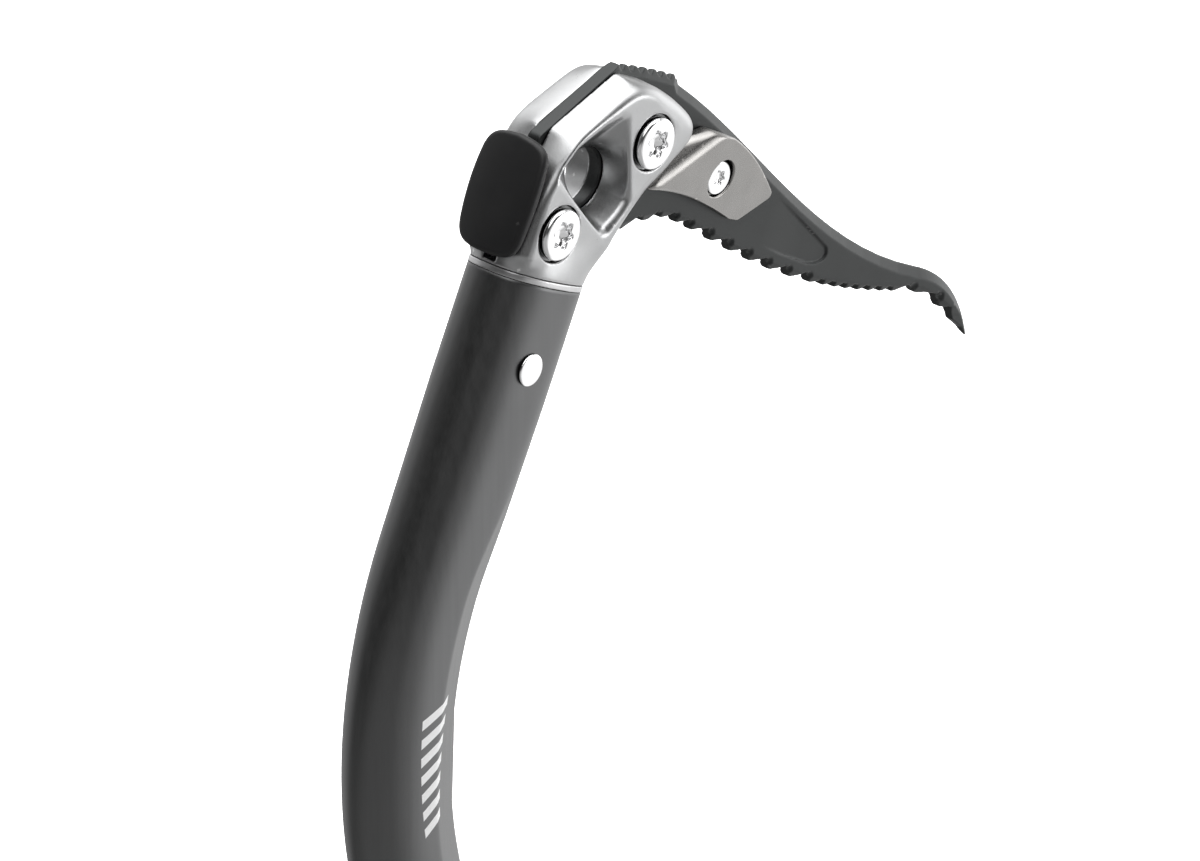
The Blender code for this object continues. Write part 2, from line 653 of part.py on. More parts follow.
def build_ferrule():
    inside = -WALL - GAP
    body = [(TUBE_END - GAP, HANDLE_OVAL, -0.2), (FERRULE_LOW + 4.0, HANDLE_OVAL, -0.6),
            (FERRULE_LOW, HANDLE_OVAL, -3.0)]
    ferrule = part("spike_ferrule", stack(body), (FORGED_ALLOY, 0.4, 0.9), HANDLE)
    plug = [(FERRULE_PLUG_TOP, HANDLE_OVAL, inside), (TUBE_END - 4.0, HANDLE_OVAL, inside)]
    combine(ferrule, "UNION", "ferrule_plug", stack(plug), HANDLE)
    half = SPIKE_HALF + GAP
    combine(ferrule, "DIFFERENCE", "ferrule_slot",
            block((-9.3, -half, FERRULE_LOW - 5.0), (9.3, half, SPIKE_RIVET_Z + 9.0)), HANDLE)
    combine(ferrule, "DIFFERENCE", "ferrule_rivet_bore",
            rod((0.0, SPIKE_RIVET_Z), -20, 20, RIVET_SHANK_R - 0.5 + GAP), HANDLE)


def build_spike():
    """A steel plate: a tang in the ferrule, a karabiner eye and a short point."""
    top = SPIKE_RIVET_Z + 8.0
    points = [(-9.0, top), (-9.0, FERRULE_LOW - 2.0)]
    tip = (0.0, -HANDLE_LENGTH)
    points += bezier((-9.0, FERRULE_LOW - 2.0), (-9.5, SPIKE_EYE_Z - 8.0), (-3.0, tip[1] + 8.0), tip, 6)
    points += bezier(tip, (4.5, tip[1] + 8.0), (9.5, SPIKE_EYE_Z - 8.0), (9.0, FERRULE_LOW - 2.0), 6)
    points.append((9.0, top))
    spike = part("spike", plate(points, -SPIKE_HALF, SPIKE_HALF), (POLISHED, 0.3, 1.0), HANDLE)
    bores = merge(rod((0.0, SPIKE_EYE_Z), -9, 9, SPIKE_EYE_R, 24),
                  rod((0.0, SPIKE_RIVET_Z), -9, 9, RIVET_SHANK_R - 0.5 + GAP))
    combine(spike, "DIFFERENCE", "spike_bores", bores, HANDLE)


# ---------------------------------------------------------------- finger rest

def build_finger_rest():
    z = FINGER_Z
    h = FINGER_HALF_HEIGHT
    ring = sleeve([(z + h, 3.2), (z + h - 2.0, FINGER_WALL), (z - h + 2.0, FINGER_WALL), (z - h, 3.2)],
                  HANDLE_OVAL, 1.5)
    body = part("finger_rest_body", ring, (RUBBER_BLACK, 0.55, 0.0), HANDLE)
    hook = [(17.6, z - 8.0), (26.0, z - 6.5)]
    hook += bezier(hook[-1], (34.0, z - 4.0), (39.5, z + 1.5), (41.5, z + 8.5), 5)
    hook += arc((39.6, z + 9.2), 2.0, 0.0, 150.0, 3)
    hook += bezier(hook[-1], (35.0, z + 5.5), (30.0, z + 1.8), (23.0, z + 1.8), 5)
    hook.append((17.6, z + 4.0))
    combine(body, "UNION", "finger_hook", plate(hook, -6.5, 6.5), HANDLE)
    px, pz = LEVER_PIN
    ear = [(-17.4, z + pz - 5.0), (-17.4, z + pz + 4.0)] + arc((px, z + pz), 3.4, 90.0, 270.0, 6)
    ears = merge(plate(ear, -8.6, -6.0), plate(ear, 6.0, 8.6))
    combine(body, "UNION", "finger_ears", ears, HANDLE)
    combine(body, "DIFFERENCE", "finger_pin_bore", rod((px, z + pz), -12, 12, LEVER_PIN_R + GAP, 16), HANDLE)
    lining = sleeve([(z + h - 0.5, 1.2), (z - h + 0.5, 1.2)], HANDLE_OVAL, GAP)
    part("finger_rest_liner", lining, (RUBBER_BLACK, 0.8, 0.0), HANDLE)
    part("finger_rest_pin", rod((px, z + pz), -8.9, 8.9, LEVER_PIN_R, 16), (POLISHED, 0.25, 1.0), HANDLE)
    lever_shape = arc((px, z + pz), 3.2, 0.0, 180.0, 6)
    back, tail = (px - 3.2, z + pz), (px - 1.8, z - 21.8)
    lever_shape += bezier(back, (px - 3.2, z - 5.0), (px - 2.2, z - 14.0), (px - 3.8, z - 21.0), 5)
    lever_shape.append(tail)
    lever_shape += bezier(tail, (px + 0.6, z - 14.0), (px + 1.2, z - 6.0), (px + 1.6, z - 1.0), 4)
    lever = part("finger_rest_lever", plate(lever_shape, -5.6, 5.6), (DARK_ANODISED, 0.4, 0.6), HANDLE,
                 pivot=(px, 0.0, z + pz))
    combine(lever, "DIFFERENCE", "lever_bore", rod((px, z + pz), -12, 12, LEVER_PIN_R + GAP, 16), HANDLE)


# ---------------------------------------------------------------- grip rest

def build_grip_rest():
    z = REST_Z
    ring = sleeve([(z + 7.2, 1.9), (z + 6.0, BRACKET_WALL), (z - 5.6, BRACKET_WALL), (z - 7.0, 1.9)],
                  HANDLE_OVAL, GAP)
    bracket = part("grip_rest_bracket", ring, (FORGED_ALLOY, 0.45, 0.8), HANDLE)
    ear = [(16.6, z - 5.0)] + arc((REST_PIN_X, z), 4.6, -90.0, 90.0, 8) + [(16.6, z + 5.0)]
    ears = merge(plate(ear, -REST_EAR_OUT, -REST_EAR_IN), plate(ear, REST_EAR_IN, REST_EAR_OUT))
    combine(bracket, "UNION", "rest_ears", ears, HANDLE)
    pin_bore = rod((REST_PIN_X, z), -12, 12, REST_PIN_R + GAP, 16)
    combine(bracket, "DIFFERENCE", "rest_pin_bore", pin_bore, HANDLE)
    button_in = HANDLE_OVAL[1] + BRACKET_WALL - BUTTON_DEPTH
    combine(bracket, "DIFFERENCE", "rest_button_bore", rod((0.0, z), -30, -button_in, BUTTON_R + GAP), HANDLE)
    pin_end = REST_EAR_OUT + 0.3
    pin = rod((REST_PIN_X, z), -pin_end, pin_end, REST_PIN_R, 16)
    part("grip_rest_pin", pin, (POLISHED, 0.25, 1.0), HANDLE)
    button_out = HANDLE_OVAL[1] + FINGER_WALL
    button = part("grip_rest_button", rod((0.0, z), -button_out, -button_in - 1.5, BUTTON_R),
                  (BUTTON_GREY, 0.45, 0.0), HANDLE, pivot=(0.0, -button_out, z))
    round_edges(button, 0.4, 1)
    px = REST_PIN_X
    arm = arc((px, z), 4.1, 90.0, 270.0, 8)
    arm += [(px + 20.0, z - 4.1)]
    arm += bezier(arm[-1], (px + 29.0, z - 4.0), (px + 35.0, z - 1.0), (px + 37.5, z + 4.2), 5)
    arm += [(px + 35.6, z + 5.4)]
    arm += bezier(arm[-1], (px + 33.0, z + 2.6), (px + 29.0, z + 1.2), (px + 22.0, z + 1.0), 4)
    arm += [(px + 6.0, z + 1.0), (px + 4.5, z + 4.1)]
    rest = part("grip_rest", plate(arm, -REST_EAR_OUT, REST_EAR_OUT), (DARK_ANODISED, 0.5, 0.3), HANDLE,
                pivot=(px, 0.0, z))
    boss_end = px + 5.4
    inner = REST_EAR_IN - GAP
    sides = merge(block((px - 9.0, inner, z - 9.0), (boss_end, 20.0, z + 9.0)),
                  block((px - 9.0, -20.0, z - 9.0), (boss_end, -inner, z + 9.0)))
    combine(rest, "DIFFERENCE", "rest_boss_sides", sides, HANDLE)
    combine(rest, "DIFFERENCE", "rest_bore", rod((px, z), -12, 12, REST_PIN_R + GAP, 16), HANDLE)
    pad = [(px + 7.0, z + 1.3), (px + 22.0, z + 1.3)]
    pad += bezier(pad[-1], (px + 26.0, z + 1.4), (px + 29.0, z + 2.0), (px + 31.4, z + 3.2), 3)
    pad += [(px + 28.0, z + 4.3), (px + 22.0, z + 3.4), (px + 8.0, z + 3.4)]
    part("grip_rest_pad", plate(pad, -7.6, 7.6), (RUBBER_BLACK, 0.8, 0.0), HANDLE, pivot=(px, 0.0, z))


# ---------------------------------------------------------------- assembly

DARK_ANODISED = (0.055, 0.056, 0.058)
FORGED_ALLOY = (0.72, 0.72, 0.73)
BRIGHT_ALLOY = (0.82, 0.82, 0.83)
POLISHED = (0.88, 0.88, 0.89)
BLACK_STEEL = (0.045, 0.048, 0.047)
WARM_STEEL = (0.48, 0.46, 0.44)
RUBBER_BLACK = (0.015, 0.015, 0.016)
BUTTON_GREY = (0.32, 0.33, 0.34)

clear_scene()
PARTS = new_collection("ice_axe")
CUTTERS = new_collection("cutters")
HEAD = axes_empty("head_axes", *SHAFT_TOP, HEAD_LEAN)
(bow_x, bow_z), _ = shaft_point(UPPER_LENGTH + BOW_RADIUS * (HEAD_LEAN + HANDLE_LEAN))
HANDLE = axes_empty("handle_axes", SHAFT_TOP[0] + bow_x, SHAFT_TOP[1] + bow_z, -HANDLE_LEAN)

build_shaft()
build_head()
build_collar()
build_rivet("head_rivet", (RIVET_X, RIVET_Z), TOP_OVAL[1] + 0.15, RIVET_HEAD_R, RIVET_SHANK_R, HEAD)
build_bolt("pick_bolt_upper", UPPER_BOLT, HEAD)
build_bolt("pick_bolt_lower", LOWER_BOLT, HEAD)
build_nut("pick_nut_upper", UPPER_BOLT, HEAD)
build_nut("pick_nut_lower", LOWER_BOLT, HEAD)
build_pick()
build_hammer()
build_weight("pick_weight_left", -1)
build_weight("pick_weight_right", 1)
build_weight_fastener()
build_grip()
build_ferrule()
build_spike()
build_rivet("spike_rivet", (0.0, SPIKE_RIVET_Z), HANDLE_OVAL[1] + 0.15, 3.6, RIVET_SHANK_R - 0.5, HANDLE)
build_finger_rest()
build_grip_rest()
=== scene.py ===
"""Finished look of the technical ice axe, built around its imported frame.

Each visible piece is modelled as a field: a function of place, in millimetres, that is negative inside the
piece. Fields are joined and cut with rounded edges, then turned into a fine mesh. Two sets of local axes are
worked out from the frame: the head's, whose Z runs up the upper shaft, and the handle's, whose Z runs up the
handle. In both, X points the way the pick points and Y crosses the shaft.
"""
import json
import math

import bpy
import numpy as np
from mathutils import Matrix, Vector


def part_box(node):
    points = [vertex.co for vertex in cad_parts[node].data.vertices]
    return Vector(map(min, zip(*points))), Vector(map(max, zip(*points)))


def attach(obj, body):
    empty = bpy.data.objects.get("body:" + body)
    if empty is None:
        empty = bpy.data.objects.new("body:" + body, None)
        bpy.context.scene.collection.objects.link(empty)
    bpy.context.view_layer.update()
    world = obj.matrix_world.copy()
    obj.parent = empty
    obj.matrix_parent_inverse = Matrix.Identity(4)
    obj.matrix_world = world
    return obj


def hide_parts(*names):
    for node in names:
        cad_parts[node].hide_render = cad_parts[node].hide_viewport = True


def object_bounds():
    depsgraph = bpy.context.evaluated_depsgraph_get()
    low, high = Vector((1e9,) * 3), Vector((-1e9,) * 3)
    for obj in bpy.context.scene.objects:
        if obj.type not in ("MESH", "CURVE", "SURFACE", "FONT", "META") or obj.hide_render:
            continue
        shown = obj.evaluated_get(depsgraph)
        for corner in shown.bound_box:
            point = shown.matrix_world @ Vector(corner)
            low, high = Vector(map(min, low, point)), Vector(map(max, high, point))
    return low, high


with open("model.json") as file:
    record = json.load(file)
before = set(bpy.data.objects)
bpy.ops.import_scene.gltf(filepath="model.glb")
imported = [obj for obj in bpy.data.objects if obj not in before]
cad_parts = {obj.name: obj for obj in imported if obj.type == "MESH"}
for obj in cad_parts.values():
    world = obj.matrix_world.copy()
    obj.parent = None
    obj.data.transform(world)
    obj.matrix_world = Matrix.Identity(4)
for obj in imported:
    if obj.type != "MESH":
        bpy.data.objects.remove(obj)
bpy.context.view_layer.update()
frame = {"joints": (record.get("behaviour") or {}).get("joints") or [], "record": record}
record = frame["record"]

MM = 0.001
GAP = 0.3

# Shaft
HEAD_LEAN = math.radians(27.9)
HANDLE_LEAN = math.radians(12.0)
UPPER_LENGTH = 72.0
BOW_RADIUS = 126.5
TOP_OVAL = (16.7, 11.8, 2.5)
BOW_OVAL = (15.7, 11.3, 2.4)
HANDLE_OVAL = (15.2, 11.0, 2.3)
WALL = 1.6

# Head, in head axes
HAMMER_MOUNT = (-21.8, 19.8)
COLLAR_TOP = 1.7
CHEEK_HALF = 11.0
SLOT_HALF = 2.1
PICK_HALF = 1.93
EYE_CENTRE = (6.3, 27.3)
EYE_R = 8.5
PICK_EYE_R = 7.9
BOLT_HEAD_R = 6.8
BOLT_BORE_R = 4.3
BOLT_SEAT = 9.6
BOLT_TOP = 12.5
SEAM = 0.14
RIVET_CENTRE = (-1.7, -21.1)
STUB_LENGTH = 34.0

# Pick, in head axes
PICK_TIP = (188.0, 4.5)
TOP_EDGE = ((36.0, 54.9), (76.0, 44.5), (112.0, 20.5), (158.0, 19.9))
TOP_NOSE = ((158.0, 19.9), (169.0, 19.9), (179.5, 16.0), PICK_TIP)
LOW_EDGE = ((48.0, 21.1), (80.0, 16.4), (105.0, 6.6), (157.0, 13.5))
LOW_NOSE = ((157.0, 13.5), (165.0, 13.8), (176.0, 10.5), PICK_TIP)
TOOTH_GROUPS = ((172.4, 12.0, 1.9, 2), (149.9, 4.85, 1.6, 7), (115.2, 9.2, 2.3, 6), (59.7, 7.0, 2.1, 4))

# Handle, in handle axes
LEVER_PIN = (-24.2, -82.0)
GRIP_TOP = -130.0
GRIP_LOW = -249.0
TUBE_END = -268.0
FERRULE_LOW = -286.0
HANDLE_LENGTH = 311.0
SPIKE_RIVET_Z = -256.0
SPIKE_EYE_Z = -294.0
FINGER_Z = -88.0
REST_Z = -276.0
REST_PIN_X = 25.8


# ---------------------------------------------------------------- local axes

class Axes:
    """Local axes given by an origin in metres, a forward X and an upward Z."""

    def __init__(self, origin, forward, up):
        across = up.cross(forward)
        self.matrix = Matrix((forward, across, up)).transposed().to_4x4()
        self.matrix.translation = origin

    def point(self, x, y, z):
        return self.matrix @ Vector((x * MM, y * MM, z * MM))


def named(items, name):
    return next(item for item in items if item["name"] == name)


def head_axes():
    mount = named(record["mounts"], "hammer_face")
    forward = -Vector(mount["axis"]).normalized()
    up = forward.cross(Vector((0, 1, 0)))
    origin = Vector(mount["pos_m"]) - (forward * HAMMER_MOUNT[0] + up * HAMMER_MOUNT[1]) * MM
    return Axes(origin, forward, up)


def handle_axes():
    up = Vector(named(frame["joints"], "finger_rest_slide")["axis"]).normalized()
    forward = Vector((0, 1, 0)).cross(up)
    pin = Vector(named(frame["joints"], "finger_lever_hinge")["pos_m"])
    return Axes(pin - (forward * LEVER_PIN[0] + up * LEVER_PIN[1]) * MM, forward, up)


HEAD = head_axes()
HANDLE = handle_axes()


def centre_of(node, axes):
    """The middle of a frame node, as X and Z in local millimetres."""
    low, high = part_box(node)
    local = axes.matrix.inverted() @ ((low + high) / 2)
    return local.x / MM, local.z / MM


UPPER_BOLT = centre_of("pick_bolt_upper", HEAD)
LOWER_BOLT = centre_of("pick_bolt_lower", HEAD)
WEIGHT_SCREW = centre_of("pick_weight_screw", HEAD)


# ---------------------------------------------------------------- fields

def both(a, b, r=0.3):
    """Where two shapes overlap, with the edge between them rounded."""
    return np.minimum(-r, np.maximum(a, b)) + np.hypot(np.maximum(a + r, 0), np.maximum(b + r, 0))


def either(a, b, r=0.3):
    """Two shapes joined, with a fillet between them."""
    return np.maximum(r, np.minimum(a, b)) - np.hypot(np.maximum(r - a, 0), np.maximum(r - b, 0))


def cut(a, b, r=0.3):
    """The first shape without the second."""
    return both(a, -b, r)


def ramp(value, low, high):
    """A smooth step from 0 to 1."""
    t = np.clip((value - low) / (high - low), 0, 1)
    return t * t * (3 - 2 * t)


def disc(x, z, centre, radius):
    return np.hypot(x - centre[0], z - centre[1]) - radius


def oval(x, y, section, grow=0.0):
    """A squarish oval across the shaft."""
    a, b, power = section
    reach = np.maximum((np.abs(x / (a + grow)) ** power + np.abs(y / (b + grow)) ** power) ** (1 / power), 1e-6)
    return np.hypot(x, y) * (1 - 1 / reach)


def outline(points, x, z):
    """Distance to a closed outline, negative inside it."""
    nearest = np.full(np.broadcast(x, z).shape, 1e9)
    inside = np.zeros(nearest.shape, bool)
    for (ax, az), (bx, bz) in zip(points, points[1:] + points[:1]):
        ex, ez = bx - ax, bz - az
        share = np.clip(((x - ax) * ex + (z - az) * ez) / (ex * ex + ez * ez + 1e-12), 0, 1)
        nearest = np.minimum(nearest, (x - ax - share * ex) ** 2 + (z - az - share * ez) ** 2)
        if az != bz:
            inside ^= ((az <= z) != (bz <= z)) & (x < ax + (z - az) / ez * ex)
    return np.where(inside, -1, 1) * np.sqrt(nearest)


def path_distance(points, x, z):
    """Distance to an open line."""
    nearest = np.full(np.broadcast(x, z).shape, 1e9)
    for (ax, az), (bx, bz) in zip(points, points[1:]):
        ex, ez = bx - ax, bz - az
        share = np.clip(((x - ax) * ex + (z - az) * ez) / (ex * ex + ez * ez + 1e-12), 0, 1)
        nearest = np.minimum(nearest, (x - ax - share * ex) ** 2 + (z - az - share * ez) ** 2)
    return np.sqrt(nearest)


def soften(field, sigma, axes):
    """Blurs a field along some of its axes; sigma is in grid steps."""
    reach = int(3 * sigma) + 1
    weights = np.exp(-0.5 * (np.arange(-reach, reach + 1) / sigma) ** 2)
    weights /= weights.sum()
    for axis in axes:
        pad = [(reach, reach) if a == axis else (0, 0) for a in range(field.ndim)]
        wide = np.pad(field, pad, mode="reflect", reflect_type="odd")
        count = field.shape[axis]
        field = sum(w * np.take(wide, range(i, i + count), axis=axis) for i, w in enumerate(weights))
    return field


def arc(centre, radius, start, end, steps):
    angles = [math.radians(start + (end - start) * i / steps) for i in range(steps + 1)]
    return [(centre[0] + radius * math.cos(a), centre[1] + radius * math.sin(a)) for a in angles]


def bezier(p0, p1, p2, p3, steps=16):
    """Points along a cubic curve, without its first point."""
    points = []
    for i in range(1, steps + 1):
        t = i / steps
        u = 1 - t
        w = (u ** 3, 3 * u * u * t, 3 * u * t * t, t ** 3)
        points.append(tuple(sum(k * p[axis] for k, p in zip(w, (p0, p1, p2, p3))) for axis in (0, 1)))
    return points


# ---------------------------------------------------------------- meshes

class Grid:
    """Sample places on a box, in local millimetres."""

    def __init__(self, low, high, step):
        self.low = np.array(low, float)
        self.step = step
        counts = np.ceil((np.array(high) - self.low) / step).astype(int) + 1
        lines = [self.low[i] + step * np.arange(counts[i]) for i in range(3)]
        self.x = lines[0][:, None, None]
        self.y = lines[1][None, :, None]
        self.z = lines[2][None, None, :]
        self.shape = tuple(counts)


def sample(field, places):
    """The field between its grid points."""
    base = np.clip(np.floor(places).astype(int), 0, np.array(field.shape) - 2)
    part = places - base
    total = 0
    for dx in (0, 1):
        for dy in (0, 1):
            for dz in (0, 1):
                weight = np.abs(1 - dx - part[:, 0]) * np.abs(1 - dy - part[:, 1]) * np.abs(1 - dz - part[:, 2])
                total = total + weight * field[base[:, 0] + dx, base[:, 1] + dy, base[:, 2] + dz]
    return total


def surface(field):
    """The field's zero surface, as points in grid steps and four-sided faces."""
    inside = field < 0
    cells = np.array(field.shape) - 1
    sums = np.zeros((4, cells.prod()))
    faces = []
    for axis in range(3):
        first = [slice(None)] * 3
        second = [slice(None)] * 3
        first[axis] = slice(None, -1)
        second[axis] = slice(1, None)
        first, second = tuple(first), tuple(second)
        at = np.argwhere(inside[first] != inside[second])
        a = field[first][tuple(at.T)]
        b = field[second][tuple(at.T)]
        place = at.astype(float)
        place[:, axis] += a / (a - b)
        u, v = (axis + 1) % 3, (axis + 2) % 3
        ring = []
        for du, dv in ((-1, -1), (0, -1), (0, 0), (-1, 0)):
            cell = at.copy()
            cell[:, u] += du
            cell[:, v] += dv
            index = np.ravel_multi_index(tuple(cell.T), tuple(cells), mode="clip")
            for k in range(3):
                sums[k] += np.bincount(index, place[:, k], cells.prod())
            sums[3] += np.bincount(index, minlength=cells.prod())
            ring.append(index)
        ring = np.stack(ring, axis=1)
        outward = inside[first][tuple(at.T)]
        faces.append(np.where(outward[:, None], ring, ring[:, ::-1]))
    used = np.flatnonzero(sums[3])
    number = np.zeros(cells.prod(), int)
    number[used] = np.arange(len(used))
    points = (sums[:3, used] / sums[3, used]).T
    return settle(field, points), number[np.concatenate(faces)]


def settle(field, points, rounds=3, reach=0.6):
    """Moves points onto the zero surface."""
    start = points.copy()
    for _ in range(rounds):
        slope = np.zeros_like(points)
        for axis in range(3):
            offset = np.zeros(3)
            offset[axis] = 0.5
            slope[:, axis] = sample(field, points + offset) - sample(field, points - offset)
        size = np.maximum((slope ** 2).sum(1), 1e-6)
        points = points - slope * (sample(field, points) / size)[:, None]
        points = start + np.clip(points - start, -reach, reach)
    return points


def make_mesh(name, points, faces):
    mesh = bpy.data.meshes.new(name)
    mesh.vertices.add(len(points))
    mesh.vertices.foreach_set("co", np.asarray(points, np.float32).ravel())
    size = faces.shape[1]
    mesh.loops.add(faces.size)
    mesh.loops.foreach_set("vertex_index", faces.astype(np.int32).ravel())
    mesh.polygons.add(len(faces))
    mesh.polygons.foreach_set("loop_start", np.arange(0, faces.size, size, dtype=np.int32))
    mesh.update(calc_edges=True)
    mesh.validate()
    mesh.shade_smooth()
    return mesh


def piece(name, mesh, axes, body, material, slot, *nodes):
    """Places a mesh made in local metres, rides it on its body and hides the frame nodes it stands for."""
    mesh.transform(axes.matrix)
    thing = bpy.data.objects.new(name, mesh)
    bpy.context.scene.collection.objects.link(thing)
    mesh.materials.append(material)
    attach(thing, body)
    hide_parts(*nodes)
    return thing


def carve(name, grid, field, axes, body, material, slot, *nodes):
    """A piece from its field."""
    points, faces = surface(np.broadcast_to(field, grid.shape))
    points = (points * grid.step + grid.low) * MM
    return piece(name, make_mesh(name, points, faces), axes, body, material, slot, *nodes)


# ---------------------------------------------------------------- materials

class Look:
    """A node material whose pattern is set in local metres."""

    def __init__(self, name, colour, roughness, metallic=0.0, lean=0.0):
        self.material = bpy.data.materials.new(name)
        self.lean = lean
        self.material.use_nodes = True
        self.tree = self.material.node_tree
        self.shader = self.tree.nodes["Principled BSDF"]
        self.colour = self.value(colour)
        self.roughness = self.number(roughness)
        self.shader.inputs["Metallic"].default_value = metallic
        self.height = None
        self.place = self.tree.nodes.new("ShaderNodeTexCoord").outputs["Object"]

    def value(self, colour):
        node = self.tree.nodes.new("ShaderNodeRGB")
        node.outputs[0].default_value = (*colour, 1.0)
        return node.outputs[0]

    def number(self, value):
        node = self.tree.nodes.new("ShaderNodeValue")
        node.outputs[0].default_value = value
        return node.outputs[0]

    def math(self, operation, a, b=0.0, clamp=False):
        node = self.tree.nodes.new("ShaderNodeMath")
        node.operation = operation
        node.use_clamp = clamp
        for socket, source in zip(node.inputs, (a, b)):
            if isinstance(source, (int, float)):
                socket.default_value = source
            else:
                self.tree.links.new(source, socket)
        return node.outputs[0]

    def spread(self, source, from_low, from_high, to_low, to_high):
        """Maps one range of values to another, clamped."""
        node = self.tree.nodes.new("ShaderNodeMapRange")
        for key, number in zip(("From Min", "From Max", "To Min", "To Max"), (from_low, from_high, to_low, to_high)):
            node.inputs[key].default_value = number
        self.tree.links.new(source, node.inputs["Value"])
        return node.outputs["Result"]

    def noise(self, size_mm, detail=3.0, stretch=(1, 1, 1), roughness=0.55):
        """Noise with features of about this size, from 0 to 1."""
        mapping = self.tree.nodes.new("ShaderNodeMapping")
        mapping.inputs["Rotation"].default_value = (0.0, self.lean, 0.0)
        mapping.inputs["Scale"].default_value = stretch
        self.tree.links.new(self.place, mapping.inputs["Vector"])
        node = self.tree.nodes.new("ShaderNodeTexNoise")
        node.inputs["Scale"].default_value = 1 / (size_mm * MM)
        node.inputs["Detail"].default_value = detail
        node.inputs["Roughness"].default_value = roughness
        self.tree.links.new(mapping.outputs[0], node.inputs["Vector"])
        return node.outputs["Fac"]

    def cells(self, size_mm, feature="F1", stretch=(1, 1, 1)):
        mapping = self.tree.nodes.new("ShaderNodeMapping")
        mapping.inputs["Scale"].default_value = stretch
        self.tree.links.new(self.place, mapping.inputs["Vector"])
        node = self.tree.nodes.new("ShaderNodeTexVoronoi")
        node.feature = feature
        node.inputs["Scale"].default_value = 1 / (size_mm * MM)
        self.tree.links.new(mapping.outputs[0], node.inputs["Vector"])
        return node.outputs["Distance"]

    def edges(self, low, high):
        """1 on outward edges, 0 on flats and hollows."""
        node = self.tree.nodes.new("ShaderNodeNewGeometry")
        return self.spread(node.outputs["Pointiness"], low, high, 0.0, 1.0)

    def painted_crevice_shade(self, reach_mm, depth=1.0):
        """Painted shade: darkens the base colour in narrow gaps and deep corners, where shadow falls."""
        node = self.tree.nodes.new("ShaderNodeAmbientOcclusion")
        node.inputs["Distance"].default_value = reach_mm * MM
        node.samples = 8
        share = self.spread(node.outputs["AO"], 0.1, 0.55, depth, 0.0)
        self.tint(share, (0.006, 0.006, 0.006))

    def tint(self, share, colour):
        """Blends the base colour towards another by a share."""
        node = self.tree.nodes.new("ShaderNodeMix")
        node.data_type = "RGBA"
        self.tree.links.new(share, node.inputs[0])
        self.tree.links.new(self.colour, node.inputs[6])
        node.inputs[7].default_value = (*colour, 1.0)
        self.colour = node.outputs[2]

    def vary(self, share, low, high):
        """Multiplies the base colour by a factor that follows a share from low to high."""
        factor = self.spread(share, 0.25, 0.75, low, high)
        node = self.tree.nodes.new("ShaderNodeVectorMath")
        node.operation = "SCALE"
        self.tree.links.new(self.colour, node.inputs[0])
        self.tree.links.new(factor, node.inputs["Scale"])
        self.colour = node.outputs[0]

    def roughen(self, share, amount):
        """Adds to the roughness as a share goes from 0.25 to 0.75."""
        self.roughness = self.math("ADD", self.roughness, self.spread(share, 0.25, 0.75, -amount, amount))

    def relief(self, share, depth_mm):
        """Adds bump of this depth."""
        height = self.math("MULTIPLY", share, depth_mm * MM)
        self.height = height if self.height is None else self.math("ADD", self.height, height)

    def done(self):
        links = self.tree.links
        links.new(self.colour, self.shader.inputs["Base Color"])
        links.new(self.roughness, self.shader.inputs["Roughness"])
        if self.height is not None:
            bump = self.tree.nodes.new("ShaderNodeBump")
            bump.inputs["Distance"].default_value = 1.0
            bump.inputs["Strength"].default_value = 1.0
            links.new(self.height, bump.inputs["Height"])
            links.new(bump.outputs[0], self.shader.inputs["Normal"])
        return self.material


def forged_look():
    look = Look("forged_alloy", (0.395, 0.398, 0.401), 0.34, 1.0)
    slow = look.noise(9.0, 3.0)
    grain = look.noise(0.35, 2.0)
    look.vary(slow, 0.93, 1.05)
    look.vary(grain, 0.96, 1.04)
    look.tint(look.math("MULTIPLY", look.edges(0.52, 0.60), 0.5), (0.9, 0.9, 0.9))
    look.roughen(slow, 0.05)
    look.roughen(grain, 0.05)
    look.relief(grain, 0.012)
    look.relief(look.noise(2.2, 2.0), 0.02)
    # painted shade: base colour darkened in gaps and deep corners
    look.painted_crevice_shade(2.5)
    return look.done()


def collar_look():
    look = Look("collar_alloy", (0.55, 0.55, 0.555), 0.34, 1.0, lean=-HEAD_LEAN)
    turning = look.noise(0.3, 2.0, stretch=(0.05, 0.05, 1.0))
    look.vary(look.noise(6.0), 0.95, 1.04)
    look.roughen(turning, 0.06)
    look.relief(turning, 0.008)
    return look.done()


def polished_look():
    look = Look("fastener_steel", (0.88, 0.88, 0.885), 0.10, 1.0)
    scuffs = look.noise(0.5, 4.0, stretch=(1.0, 1.0, 0.12), roughness=0.7)
    look.vary(look.noise(3.0), 0.96, 1.03)
    look.roughen(scuffs, 0.04)
    look.relief(scuffs, 0.0015)
    look.relief(look.noise(2.5, 2.0), 0.004)
    # painted shade: base colour darkened in gaps and deep corners
    look.painted_crevice_shade(2.0)
    return look.done()


def shaft_look():
    look = Look("shaft_anodised", (0.125, 0.126, 0.127), 0.38, 1.0)
    grain = look.noise(0.28, 2.0)
    streaks = look.noise(1.6, 4.0, stretch=(1.0, 1.0, 0.03))
    look.vary(streaks, 0.95, 1.06)
    look.vary(look.noise(30.0), 0.96, 1.05)
    look.roughen(grain, 0.03)
    look.roughen(streaks, 0.03)
    look.relief(grain, 0.004)
    printed_mark(look)
    return look.done()


